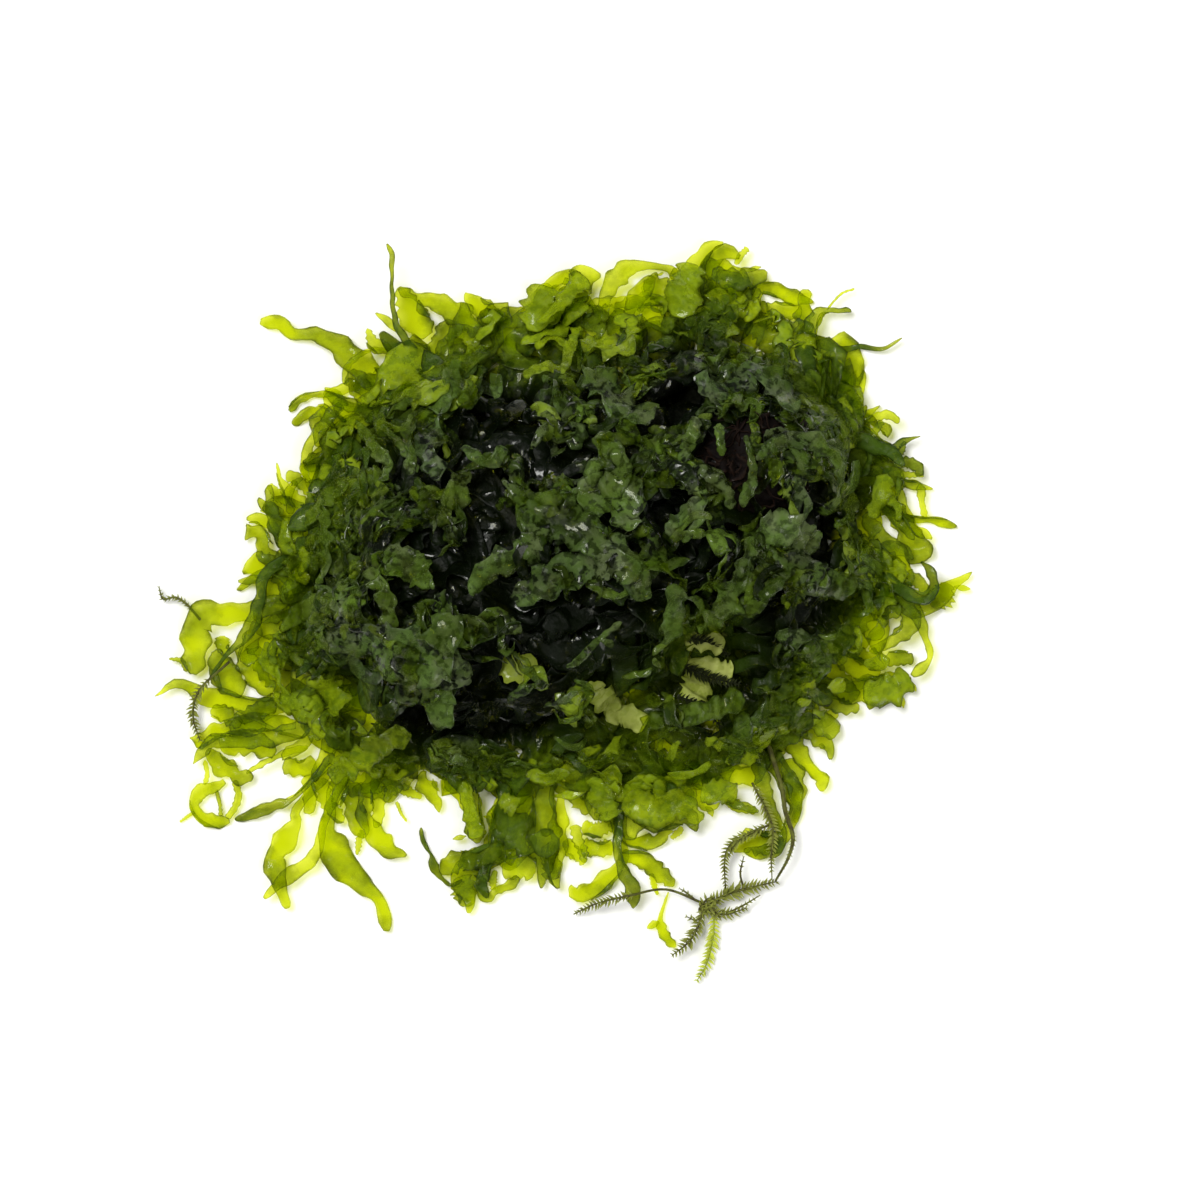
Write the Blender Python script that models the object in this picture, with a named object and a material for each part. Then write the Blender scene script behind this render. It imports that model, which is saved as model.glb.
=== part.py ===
"""A clump of subwassertang: a wet handful of a ribbon-leaved water fern, lying on a flat surface.

The clump is a dense matted heart with curled ribbons grown into its top, a lump of old brown
growth in a pocket of the heart, loose ribbons that spread from under its edge, and a few sprigs
of moss caught in it. Lengths in the tables are millimetres. The origin is on the surface that
the clump lies on, under the middle of its outline, with +Z up and +Y towards its long straight
back edge.
"""

import math
import random

import bmesh
import bpy
from mathutils import Vector

MM = 0.001

# Driving sizes of the heart
HEART_CENTRE = (2.0, 5.0)
HEART_HEIGHT = 21.5
HEART_FLANK_POWER = 2.1
HEART_CROWN_POWER = 0.78
HEART_RINGS = (1.0, 0.965, 0.9, 0.81, 0.69, 0.53, 0.31)
HEART_SIDES = 40
HEART_LUMP = 1.7
HEART_RADII = (
    36.5, 35.5, 35.0, 37.0, 35.5, 31.5, 29.0, 29.5, 31.5, 33.0, 33.0, 33.0,
    35.5, 38.0, 41.0, 34.0, 28.0, 26.5, 26.0, 27.0, 29.5, 32.5, 34.5, 37.5,
)  # one every 15 degrees, anticlockwise from +X

# Driving sizes of the pieces round the heart
RIBBON_THICKNESS = 0.6
RIBBON_RUFFLE = 0.14
ROW_SPACING = 2.8
SEATING_GAP = 0.4
TIP_TAPER = 0.55

# The curled ribbons fused to the heart
CURL_COUNT = 54
CURL_THICKNESS = 1.0
CURL_ROW_SPACING = 3.4
CURL_ROOT_DEPTH = 1.6
CURL_EDGE = 0.95
CURL_LOWEST = 4.4
CURL_SPREAD = 0.44
CURL_SEED = 11

# The old brown growth: centre, half axes and the room kept clear of curls round it
BROWN_CENTRE = (21.5, 17.0, 11.6)
BROWN_AXES = (9.5, 7.0, 4.6)
BROWN_TURN = math.radians(28)
BROWN_CLEAR = 1.28

GREEN_DEEP = (0.030, 0.075, 0.012, 1.0)
GREEN_BRIGHT = (0.330, 0.420, 0.015, 1.0)
MOSS_GREEN = (0.090, 0.110, 0.020, 1.0)
BROWN = (0.045, 0.022, 0.016, 1.0)

# Loose ribbons, each a route of (x, y, z) from its free tip to its root under the heart, and its
# width at each of those points
RIBBONS = {
    "ribbon_nw_long": (
        [(-36.4, 34.7, 0.8), (-33.2, 34.9, 1.0), (-31, 33.4, 1.3), (-28, 32.6, 1.6),
         (-25, 30.9, 1.8), (-21.5, 28.5, 2.0), (-18, 25.5, 2.2)],
        [1.9, 2.1, 1.9, 2.9, 3.8, 4.2, 4.0]),
    "ribbon_nw_spike": (
        [(-21, 44, 5.0), (-20.3, 42, 4.4), (-20.5, 39.5, 4.0), (-20.1, 36, 3.8),
         (-18.6, 32.5, 3.8), (-16.5, 29, 4.0)],
        [0.6, 1.0, 0.8, 0.8, 1.0, 1.2]),
    "ribbon_n_broad": (
        [(-19.8, 38.2, 1.5), (-17.3, 37.2, 1.6), (-14.5, 36.8, 1.7), (-11.8, 35, 1.8),
         (-9, 31.5, 2.0)],
        [2.2, 2.8, 3.0, 3.0, 3.0]),
    "ribbon_nw_finger_upper": (
        [(-32.9, 24.0, 0.5), (-31.4, 25.5, 0.6), (-29, 26.0, 0.7), (-26.2, 25.6, 0.8),
         (-22.5, 24, 0.9)],
        [1.1, 1.2, 0.9, 1.1, 1.4]),
    "ribbon_nw_finger_lower": (
        [(-32.3, 22.3, 0.5), (-30.4, 23.2, 0.5), (-28.3, 22.7, 0.6), (-24, 20.5, 0.8)],
        [1.2, 1.7, 1.8, 1.8]),
    "ribbon_wnw_loop": (
        [(-28.8, 15.2, 2.2), (-30.9, 16.4, 2.2), (-30.9, 18.6, 2.2), (-29.0, 20.8, 2.3),
         (-24.5, 21, 2.6)],
        [1.2, 1.4, 1.6, 1.6, 1.8]),
    "ribbon_wnw_spike": (
        [(-34.2, 18, 3.6), (-33.9, 16, 3.2), (-32.7, 13.4, 3.0), (-28.5, 11, 3.2)],
        [0.5, 0.9, 1.7, 1.8]),
    "ribbon_w_lobe_upper": (
        [(-35, 13.6, 1.7), (-34.4, 11.2, 1.7), (-33, 8.5, 1.7), (-28.5, 6.5, 1.8)],
        [1.6, 2.4, 2.8, 2.8]),
    "ribbon_w_lobe": (
        [(-38.3, 9.8, 0.5), (-36.4, 9.0, 0.5), (-34.9, 6.2, 0.5), (-30.5, 4.0, 0.6)],
        [2.2, 2.6, 2.4, 2.2]),
    "ribbon_w_broad": (
        [(-43.2, -7.4, 0.5), (-44.0, -4.2, 0.5), (-43.8, -1.0, 0.5), (-41.5, 0.8, 0.5),
         (-37.5, 0.4, 0.5), (-31.5, -0.5, 0.6)],
        [2.4, 3.8, 3.8, 2.8, 2.2, 2.4]),
    "ribbon_w_cross": (
        [(-41.3, -8, 1.8), (-38.8, -5, 1.8), (-37.6, -1.5, 1.8), (-36.2, 2.5, 1.9),
         (-30.5, 4.5, 2.0)],
        [1.0, 1.8, 2.0, 1.8, 1.6]),
    "ribbon_w_tip": (
        [(-49, -10.4, 0.7), (-47, -9.4, 0.6), (-44.6, -9.9, 0.5), (-41, -10.9, 0.5),
         (-36.5, -11.3, 0.5), (-30.5, -10.8, 0.6)],
        [0.5, 1.6, 1.8, 1.5, 1.6, 1.8]),
    "ribbon_w_low": (
        [(-44.6, -15.6, 0.5), (-42, -15.3, 0.5), (-38.5, -14.2, 0.5), (-32, -13.5, 0.6)],
        [1.6, 2.2, 2.0, 2.2]),
    "ribbon_w_low_tip": (
        [(-44, -18.2, 1.8), (-42.2, -16.8, 1.8), (-39, -17.0, 1.8), (-35, -16.2, 1.8),
         (-29.5, -13.5, 2.0)],
        [0.8, 1.8, 2.0, 2.2, 2.4]),
    "ribbon_sw_hook": (
        [(-40.2, -25.1, 0.5), (-42.4, -25, 0.5), (-44.2, -23.8, 0.5), (-43.2, -21.9, 0.5),
         (-41.1, -21.1, 0.5)],
        [1.8, 2.2, 2.0, 1.8, 1.2]),
    "ribbon_sw_blade": (
        [(-38.6, -25.0, 0.5), (-36.5, -24.6, 0.7), (-34, -23.8, 1.4), (-31.3, -22.2, 2.0),
         (-28.7, -20, 2.2), (-26.5, -16, 2.4)],
        [0.8, 1.4, 1.6, 1.0, 1.0, 1.2]),
    "ribbon_s_twist": (
        [(-32.5, -35.5, 0.5), (-33.8, -33.2, 0.5), (-34.9, -30.4, 0.5), (-33.4, -27.2, 0.6),
         (-31.6, -24.8, 0.6), (-30, -22, 0.5), (-27.3, -18.5, 0.6), (-24.5, -15, 0.8)],
        [1.6, 1.8, 2.6, 3.0, 2.0, 1.6, 1.8, 2.0]),
    "ribbon_s_cross": (
        [(-36.1, -34.6, 1.8), (-34.2, -33, 1.8), (-31.6, -31.2, 1.8), (-29.3, -28.3, 1.8),
         (-28.6, -25, 1.8), (-26.8, -21.5, 1.9), (-24.0, -16.5, 2.0)],
        [0.8, 1.4, 1.9, 1.6, 1.4, 1.4, 1.6]),
    "ribbon_s_long": (
        [(-20.9, -38.1, 0.5), (-21.9, -35.6, 0.5), (-24.1, -32.9, 0.5), (-26.8, -30.2, 0.5),
         (-28.2, -27.4, 0.5), (-27.6, -24.4, 0.5), (-26, -21.5, 0.5), (-22.7, -16.5, 0.6)],
        [1.6, 1.6, 2.8, 4.2, 3.4, 1.8, 1.8, 2.0]),
    "ribbon_s_short": (
        [(-18.6, -29.0, 0.5), (-20.6, -28.9, 0.5), (-22.4, -26.8, 0.5), (-23.0, -23.9, 0.5),
         (-21.6, -20.4, 0.5), (-19.5, -15.5, 0.7)],
        [0.9, 2.2, 2.8, 2.8, 2.6, 2.6]),
    "ribbon_s_tassel": (
        [(-10.1, -27.9, 1.9), (-10.7, -25.6, 1.9), (-11.6, -22.6, 1.9), (-13, -17.0, 2.2)],
        [1.8, 2.4, 1.8, 1.6]),
    "ribbon_s_stick": (
        [(-17.1, -25.9, 0.9), (-16.5, -27.9, 0.7), (-15.5, -30, 0.5), (-14.8, -31.8, 0.5)],
        [0.7, 0.8, 1.0, 0.8]),
    "ribbon_s_fork": (
        [(-11.3, -36.2, 0.5), (-11.8, -33.8, 0.5), (-12.2, -31.4, 0.5), (-9.6, -29.2, 0.5),
         (-6.4, -27.2, 0.5), (-5.5, -23.5, 0.5), (-5.5, -17.5, 0.7)],
        [1.6, 2.0, 2.8, 3.0, 3.6, 4.4, 4.0]),
    "ribbon_s_prong": (
        [(-8.9, -34.8, 0.5), (-9.6, -33.2, 0.8), (-8.6, -31, 1.7), (-7.2, -27.5, 1.8),
         (-7.2, -23, 1.8), (-7.5, -17.5, 2.1)],
        [1.5, 1.4, 1.6, 1.8, 1.8, 1.8]),
    "ribbon_s_mid_left": (
        [(-1.1, -33.2, 0.5), (-1.5, -31, 0.5), (-0.8, -28, 0.5), (-0.4, -24, 0.5),
         (-0.4, -17.5, 0.7)],
        [1.2, 2.2, 2.8, 2.6, 2.8]),
    "ribbon_s_mid_arc": (
        [(0.9, -33.9, 0.5), (3.6, -33.0, 0.5), (5.4, -30.6, 0.5), (4.2, -27.2, 0.5),
         (3.6, -23.5, 0.5), (3.4, -17.5, 0.7)],
        [1.4, 2.6, 2.4, 2.6, 2.6, 2.6]),
    "ribbon_s_stalk": (
        [(8.5, -35.6, 1.8), (7.8, -33, 1.8), (6.8, -29.8, 1.8), (6.5, -26, 1.8),
         (6.9, -22.5, 1.8), (7.2, -17.5, 2.0)],
        [1.6, 2.0, 1.5, 1.5, 1.6, 1.8]),
    "ribbon_s_leaf_upper": (
        [(12.6, -26.5, 0.5), (10.4, -27.3, 0.5), (8.5, -25.4, 0.5), (8.2, -22.5, 0.5),
         (8.5, -17.5, 0.7)],
        [1.6, 2.2, 2.2, 2.2, 2.4]),
    "ribbon_s_shelf": (
        [(16, -26.1, 1.8), (14.9, -24.3, 1.8), (12.3, -23.2, 1.8), (10.4, -20.8, 1.8),
         (10.2, -16.5, 2.0)],
        [1.6, 2.6, 3.0, 3.0, 3.0]),
    "ribbon_s_thread": (
        [(13.2, -40.0, 0.5), (12.2, -38.6, 0.5), (11.2, -37.2, 0.5), (12, -35.4, 0.5),
         (12.7, -34.4, 0.5)],
        [1.0, 1.0, 1.2, 0.7, 0.6]),
    "ribbon_se_curl": (
        [(20.2, -28.9, 0.5), (23, -28.6, 0.5), (25.6, -27.8, 0.5), (27.0, -25.4, 0.5),
         (26.4, -22.4, 0.5), (25.3, -19, 0.5), (23.5, -14, 0.7)],
        [1.6, 2.2, 2.2, 1.6, 1.8, 2.2, 2.4]),
    "ribbon_se_left": (
        [(24.0, -24.8, 1.8), (22.4, -23, 1.8), (20, -21.8, 1.8), (18.5, -19.5, 1.8),
         (17.0, -14.5, 2.0)],
        [1.2, 1.6, 2.0, 2.4, 2.4]),
    "ribbon_se_drop": (
        [(30.9, -21.6, 0.5), (30.1, -19.4, 0.5), (28.6, -16.8, 0.5), (25.5, -12.5, 0.7)],
        [1.4, 1.6, 2.2, 2.6]),
    "ribbon_e_broad": (
        [(40.8, -9.6, 0.5), (37.8, -9.7, 0.5), (34.4, -9.8, 0.5), (29.5, -7.5, 0.7)],
        [2.6, 3.6, 3.8, 3.8]),
    "ribbon_e_loop": (
        [(41.4, -7.5, 1.8), (43.9, -6.3, 1.8), (43.7, -4.2, 1.8), (42.4, -1.6, 1.8),
         (40.2, 1.3, 1.8), (35.0, 3.5, 2.0)],
        [1.2, 1.4, 1.2, 1.2, 1.6, 2.0]),
    "ribbon_e_tip": (
        [(49, 4.7, 0.8), (46.8, 3.2, 0.6), (44.6, 1.4, 0.5), (41.5, 0.8, 0.5),
         (35.5, 2.4, 0.6)],
        [0.9, 2.0, 3.2, 2.6, 2.6]),
    "ribbon_e_horn": (
        [(43.2, 5.9, 3.3), (43.9, 3.9, 3.1), (42.3, 2.6, 3.1), (39, 4.2, 3.2),
         (33.5, 5.5, 3.4)],
        [1.0, 1.4, 1.8, 2.2, 2.4]),
    "ribbon_ene_knee": (
        [(42.2, 7.4, 0.5), (40.6, 9.2, 0.5), (38, 10.2, 0.5), (32.5, 10.2, 0.7)],
        [1.8, 2.4, 2.8, 2.8]),
    "ribbon_ene_claw": (
        [(42, 9.2, 1.8), (41.2, 11.0, 1.8), (40.2, 13.4, 1.8), (38.0, 15.4, 1.8),
         (32.5, 16.2, 2.0)],
        [1.4, 1.8, 2.0, 2.4, 2.6]),
    "ribbon_ene_arm": (
        [(47.2, 10.2, 0.5), (44.8, 10.8, 0.5), (42.4, 11.9, 0.5), (40, 13.6, 0.5),
         (33.5, 14.4, 0.6)],
        [1.3, 1.0, 1.0, 1.4, 1.8]),
    "ribbon_ene_link": (
        [(44.3, 14.7, 0.6), (42, 15.1, 0.5), (40.2, 16.5, 0.5), (37, 18.2, 0.5),
         (30.5, 18.8, 0.7)],
        [0.7, 1.4, 1.6, 2.0, 2.2]),
    "ribbon_ene_diagonal": (
        [(40.6, 17.5, 3.1), (37.6, 19.2, 3.1), (34, 21.2, 3.2), (30.5, 22.6, 3.3),
         (26, 22.5, 3.6)],
        [1.4, 1.8, 2.0, 1.8, 1.6]),
    "ribbon_ne_twig": (
        [(42.7, 20.9, 1.8), (40.8, 20.3, 1.8), (38.6, 21.6, 1.8), (35.5, 23.6, 1.8),
         (29.0, 25, 2.0)],
        [0.6, 1.0, 1.6, 2.2, 2.6]),
    "ribbon_ne_tail": (
        [(40.7, 32.7, 1.4), (38.6, 31.5, 1.0), (36, 31.8, 0.6), (33.2, 31.3, 0.5),
         (30.5, 31.4, 0.5), (25.0, 29, 0.7)],
        [0.5, 0.7, 0.8, 1.1, 1.8, 2.2]),
    "ribbon_ne_prong": (
        [(34.4, 35.9, 1.2), (32.3, 36, 1.6), (30.4, 35.6, 1.8), (28.4, 33.8, 1.8),
         (24.5, 29.5, 2.0)],
        [1.1, 0.8, 1.4, 2.0, 2.4]),
    "ribbon_ne_crest": (
        [(30.2, 37.0, 0.5), (27.6, 37.6, 0.5), (25, 37.0, 0.5), (20.5, 32.5, 0.7)],
        [1.4, 2.2, 2.6, 2.8]),
    "ribbon_n_crown": (
        [(20.4, 44.3, 0.7), (18.6, 43.6, 0.6), (17.4, 41, 0.5), (17.6, 38, 0.5),
         (17.5, 32.5, 0.7)],
        [1.2, 2.4, 2.8, 3.0, 3.2]),
    "ribbon_n_crown_left": (
        [(16.6, 43.2, 1.8), (14.9, 39.6, 1.8), (14.2, 36.4, 1.8), (13.2, 31, 2.0)],
        [1.6, 2.6, 3.2, 3.2]),
    "ribbon_n_arch": (
        [(12.6, 40.9, 0.8), (9.6, 41.2, 0.6), (7.4, 40.0, 0.5), (6.4, 37.4, 0.5),
         (6.6, 31.5, 0.7)],
        [1.0, 1.4, 1.8, 2.0, 2.2]),
    "ribbon_n_square": (
        [(3.1, 40.6, 1.9), (2.3, 38.4, 1.8), (0.9, 35.0, 1.8), (-0.4, 30.0, 2.0)],
        [3.4, 2.8, 2.4, 2.2]),
}

# Moss: route, width at each point, and thickness, which is the stem's or the leafy shoot's
MOSS = {
    "moss_arm_west": (
        [(1.6, -36.2, 0.8), (4, -35.0, 1.9), (8, -34.0, 2.9), (12.3, -33.3, 2.2),
         (16.0, -34.6, 1.2)],
        [1.2, 1.4, 0.7, 0.7, 0.9], 0.7),
    "moss_shoot_east": (
        [(25.2, -32.6, 1.2), (22.5, -33.1, 1.2), (19.6, -33.7, 1.2), (17.0, -35.0, 1.2)],
        [1.0, 1.8, 1.9, 1.4], 0.8),
    "moss_stem_east": (
        [(25.6, -31.9, 1.6), (26.9, -29.6, 2.0), (27.5, -27, 2.0), (26.6, -24, 2.2),
         (26.0, -20.5, 2.2), (24.2, -15, 2.6)],
        [0.7, 0.7, 0.7, 0.7, 0.8, 0.8], 0.7),
    "moss_tip_bright": (
        [(15.9, -44.9, 0.7), (17.2, -42.2, 0.7), (17.9, -39.2, 0.7), (18.1, -36.6, 0.8)],
        [0.5, 1.7, 1.8, 1.1], 0.7),
    "moss_tip_dark": (
        [(12.9, -41.3, 1.8), (14.6, -40.0, 1.7), (15.8, -38.4, 1.4), (16.6, -36.2, 1.2)],
        [0.5, 1.3, 1.5, 1.1], 0.7),
    "moss_arch": (
        [(19.4, -32.0, 1.4), (19.4, -29.2, 1.8), (20.9, -27.2, 1.9), (23.6, -26.4, 1.9)],
        [1.3, 1.5, 1.4, 1.0], 0.7),
}

# Ribbons that show large on top of the heart: route over its top in (x, y), width
TOP_CURLS = (
    (((-31, -3.2), (-26, -2.4), (-20, -4.0), (-15.5, -4.6)), 4.4),
    (((-16, -8.5), (-14.5, -4.5), (-12.2, -0.8)), 3.8),
    (((-27, -16.5), (-23.5, -14.5), (-19.5, -12.6)), 2.8),
    (((-10.5, 3.2), (-6.5, 5.0), (-2.8, 8.0), (-1.2, 11.6)), 3.6),
    (((-5.5, 0.6), (0.0, 2.8), (6.0, 4.0), (10.0, 2.5)), 3.6),
    (((21.0, 4.5), (26.0, 2.6), (31.5, 2.8)), 2.8),
    (((23.4, 10.4), (27.0, 9.6), (30.5, 7.4)), 3.6),
    (((1.5, 13.6), (4.6, 12.2), (8.2, 14.6)), 4.4),
    (((-22.0, 15.5), (-18.5, 18.0), (-15.0, 22.5)), 2.8),
    (((-27.0, 8.0), (-24.5, 12.0), (-21.5, 16.0)), 2.6),
    (((12.0, -10.5), (17.5, -11.5), (22.0, -9.5)), 3.0),
    (((-3.0, 22.0), (2.5, 24.2), (8.0, 23.0)), 3.4),
)


def clear_scene():
    for item in list(bpy.data.objects):
        bpy.data.objects.remove(item, do_unlink=True)


def finish_material(name, colour, roughness):
    material = bpy.data.materials.new(name)
    material.use_nodes = True
    shader = material.node_tree.nodes["Principled BSDF"]
    shader.inputs["Base Color"].default_value = colour
    shader.inputs["Roughness"].default_value = roughness
    shader.inputs["Metallic"].default_value = 0.0
    return material


def add_object(name, mesh_builder, material=None, guide=False):
    """Makes a scene object from a bmesh, with the mesh's normals facing out."""
    bmesh.ops.recalc_face_normals(mesh_builder, faces=mesh_builder.faces)
    mesh = bpy.data.meshes.new(name)
    mesh_builder.to_mesh(mesh)
    mesh_builder.free()
    mesh.shade_smooth()
    piece = bpy.data.objects.new(name, mesh)
    bpy.context.scene.collection.objects.link(piece)
    if material:
        mesh.materials.append(material)
    if guide:
        piece.hide_render = True
        piece.display_type = "WIRE"
    return piece


def add_boolean(piece, operation, operand):
    """Cuts or joins with one object, or with every object of a collection."""
    modifier = piece.modifiers.new(operation.title(), "BOOLEAN")
    modifier.operation = operation
    modifier.solver = "EXACT"
    if isinstance(operand, bpy.types.Collection):
        modifier.operand_type = "COLLECTION"
        modifier.collection = operand
    else:
        modifier.object = operand


def smooth_route(points, spacing):
    """Points of a smooth curve through the given ones, about one spacing apart, with each
    one's place along the list of given points."""
    padded = [points[0] * 2 - points[1], *points, points[-1] * 2 - points[-2]]
    route = []
    places = []
    for i in range(len(points) - 1):
        before, start, end, after = padded[i : i + 4]
        steps = max(1, round((end - start).length / spacing))
        for step in range(steps):
            t = step / steps
            route.append(
                0.5 * (2 * start + (end - before) * t
                       + (2 * before - 5 * start + 4 * end - after) * t ** 2
                       + (3 * start - before - 3 * end + after) * t ** 3)
            )
            places.append(i + t)
    return [*route, points[-1]], [*places, len(points) - 1.0]


def blend_list(values, place):
    """The value at a fractional place in a list."""
    first = min(int(place), len(values) - 2)
    share = place - first
    return values[first] * (1 - share) + values[first + 1] * share


def strap(route, widths, thickness, ups, ruffle=0.0):
    """A closed flat strap with thin margins along a route. Each row across it is a flattened
    hexagon that lies square to the route and to the row's up direction."""
    shape = bmesh.new()
    rows = []
    for i, centre in enumerate(route):
        along = (route[min(i + 1, len(route) - 1)] - route[max(i - 1, 0)]).normalized()
        side = along.cross(ups[i]).normalized()
        up = side.cross(along)
        half = widths[i] / 2
        lift = ruffle * (1 if i % 2 else -1)
        section = (
            (-half, lift), (-half * 0.5, thickness / 2), (half * 0.5, thickness / 2),
            (half, -lift), (half * 0.5, -thickness / 2), (-half * 0.5, -thickness / 2),
        )
        rows.append([shape.verts.new((centre + side * a + up * b) * MM) for a, b in section])
    count = len(rows[0])
    for low, high in zip(rows, rows[1:]):
        for k in range(count):
            shape.faces.new((low[k], low[(k + 1) % count], high[(k + 1) % count], high[k]))
    shape.faces.new(rows[0])
    shape.faces.new(rows[-1])
    return shape


def heart_radius(angle):
    """The heart's radius on the ground in a direction, from a smooth curve through the table."""
    place = (angle / (2 * math.pi) * len(HEART_RADII)) % len(HEART_RADII)
    first = int(place)
    t = place - first
    before, start, end, after = (
        HEART_RADII[(first + k) % len(HEART_RADII)] for k in (-1, 0, 1, 2)
    )
    return 0.5 * (2 * start + (end - before) * t
                  + (2 * before - 5 * start + 4 * end - after) * t ** 2
                  + (3 * start - before - 3 * end + after) * t ** 3)


def heart_lump(x, y):
    """The knotted surface's rise and fall at a place, as a share of its largest."""
    return (
        math.sin(0.52 * x + 1.3) * math.cos(0.47 * y - 0.4)
        + 0.6 * math.sin(0.31 * x - 0.83 * y + 2.0)
        + 0.4 * math.sin(1.05 * x + 0.62 * y)
    ) / 2.0


def heart_place(share, angle, swell=0.0):
    """A point of the heart's top surface, at a share of its radius in a direction."""
    reach = heart_radius(angle) * share
    x = HEART_CENTRE[0] + reach * math.cos(angle)
    y = HEART_CENTRE[1] + reach * math.sin(angle)
    dome = (1 - share ** HEART_FLANK_POWER) ** HEART_CROWN_POWER
    z = HEART_HEIGHT * dome + HEART_LUMP * heart_lump(x, y) * min(1.0, 3.2 * (1 - share))
    return Vector((x + swell * math.cos(angle), y + swell * math.sin(angle), z + swell))


def heart_top(x, y):
    """The heart's surface height over a place, and the share of the radius that it lies at."""
    dx, dy = x - HEART_CENTRE[0], y - HEART_CENTRE[1]
    angle = math.atan2(dy, dx)
    share = min(1.0, math.hypot(dx, dy) / heart_radius(angle))
    return heart_place(share, angle).z, share


def heart_up(x, y, step=0.8):
    """The direction square to the heart's surface over a place."""
    slope_x = (heart_top(x + step, y)[0] - heart_top(x - step, y)[0]) / (2 * step)
    slope_y = (heart_top(x, y + step)[0] - heart_top(x, y - step)[0]) / (2 * step)
    return Vector((-slope_x, -slope_y, 1.0)).normalized()


def heart_shell(floor=0.0, swell=0.0):
    """The dome of the heart with a flat underside. A swell makes it larger all over."""
    shape = bmesh.new()
    angles = [2 * math.pi * k / HEART_SIDES for k in range(HEART_SIDES)]
    foot = [
        shape.verts.new(Vector((p.x, p.y, floor)) * MM)
        for p in (heart_place(1.0, a, swell) for a in angles)
    ]
    rings = [foot]
    for share in HEART_RINGS:
        lift = Vector((0, 0, 0.5 if share == 1.0 else 0.0))
        rings.append([shape.verts.new((heart_place(share, a, swell) + lift) * MM) for a in angles])
    for outer, inner in zip(rings, rings[1:]):
        for k in range(HEART_SIDES):
            after = (k + 1) % HEART_SIDES
            shape.faces.new((outer[k], outer[after], inner[after], inner[k]))
    crown = shape.verts.new(heart_place(0.0, 0.0, swell) * MM)
    for k in range(HEART_SIDES):
        shape.faces.new((rings[-1][k], rings[-1][(k + 1) % HEART_SIDES], crown))
    shape.faces.new(foot)
    return shape


def near_brown(x, y):
    """True where the old brown growth comes up through the heart."""
    dx, dy = x - BROWN_CENTRE[0], y - BROWN_CENTRE[1]
    a = dx * math.cos(BROWN_TURN) + dy * math.sin(BROWN_TURN)
    b = dy * math.cos(BROWN_TURN) - dx * math.sin(BROWN_TURN)
    return (a / BROWN_AXES[0]) ** 2 + (b / BROWN_AXES[1]) ** 2 < BROWN_CLEAR ** 2


def curl(name, plan, width, rises, collection):
    """A ribbon that grows out of the heart along a route over its top. rises are its heights
    square to the heart's surface, and a negative one is rooted in it."""
    points = []
    for (x, y), rise in zip(plan, rises):
        points.append(Vector((x, y, heart_top(x, y)[0])) + heart_up(x, y) * rise)
    route, places = smooth_route(points, CURL_ROW_SPACING)
    ups = [heart_up(p.x, p.y) for p in route]
    widths = []
    for place in places:
        end = min(place, len(points) - 1 - place)
        widths.append(width * (TIP_TAPER + (1 - TIP_TAPER) * min(1.0, 1.6 * end)))
    piece = add_object(name, strap(route, widths, CURL_THICKNESS, ups), guide=True)
    bpy.context.scene.collection.objects.unlink(piece)
    collection.objects.link(piece)


def surface_walk(x, y, heading, step, bend):
    """Four places one after another over the heart's surface, turning as they go."""
    plan = [(x, y)]
    for _ in range(3):
        up = heart_up(x, y)
        ahead = Vector((math.cos(heading), math.sin(heading), 0))
        ahead = (ahead - up * ahead.dot(up)).normalized()
        x += step * ahead.x
        y += step * ahead.y
        heading += bend
        plan.append((x, y))
    return plan


def add_curls():
    """The ribbons that are fused to the heart: the large ones by hand, the rest spread evenly."""
    curls = bpy.data.collections.new("curls")
    bpy.context.scene.collection.children.link(curls)
    curls.hide_render = True
    for i, (plan, width) in enumerate(TOP_CURLS):
        middle = [1.0 + 0.3 * (i % 3)] * (len(plan) - 2)
        curl(f"top_curl_{i + 1:02d}", plan, width, [-CURL_ROOT_DEPTH, *middle, -0.6], curls)
    chance = random.Random(CURL_SEED)
    golden = math.pi * (3 - math.sqrt(5))
    for i in range(CURL_COUNT):
        share = CURL_EDGE * ((i + 0.6) / CURL_COUNT) ** CURL_SPREAD
        root = heart_place(share, i * golden)
        heading = chance.uniform(0, 2 * math.pi)
        step = chance.uniform(2.8, 4.4)
        width = chance.uniform(2.4, 4.2)
        bend = chance.uniform(-0.8, 0.8)
        rise = chance.uniform(1.3, 2.6)
        plan = surface_walk(root.x, root.y, heading, step, bend)
        if all(heart_top(*p)[0] > CURL_LOWEST and not near_brown(*p) for p in plan):
            rises = [-CURL_ROOT_DEPTH, 0.6 * rise, rise, 0.8 * rise]
            curl(f"curl_{i + 1:02d}", plan, width, rises, curls)
    return curls


def brown_lump(swell=0.0):
    """The lump of old brown growth, knobbly and longer than wide."""
    shape = bmesh.new()
    bmesh.ops.create_icosphere(shape, subdivisions=3, radius=1.0)
    for vert in shape.verts:
        d = vert.co.normalized()
        knob = 1 + 0.07 * math.sin(7 * d.x + 2) * math.cos(6 * d.y) + 0.05 * math.sin(9 * d.z + 4 * d.x)
        p = Vector([d[k] * (BROWN_AXES[k] * knob + swell) for k in range(3)])
        x = p.x * math.cos(BROWN_TURN) - p.y * math.sin(BROWN_TURN)
        y = p.x * math.sin(BROWN_TURN) + p.y * math.cos(BROWN_TURN)
        vert.co = (Vector((x, y, p.z)) + Vector(BROWN_CENTRE)) * MM
    return shape


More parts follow.
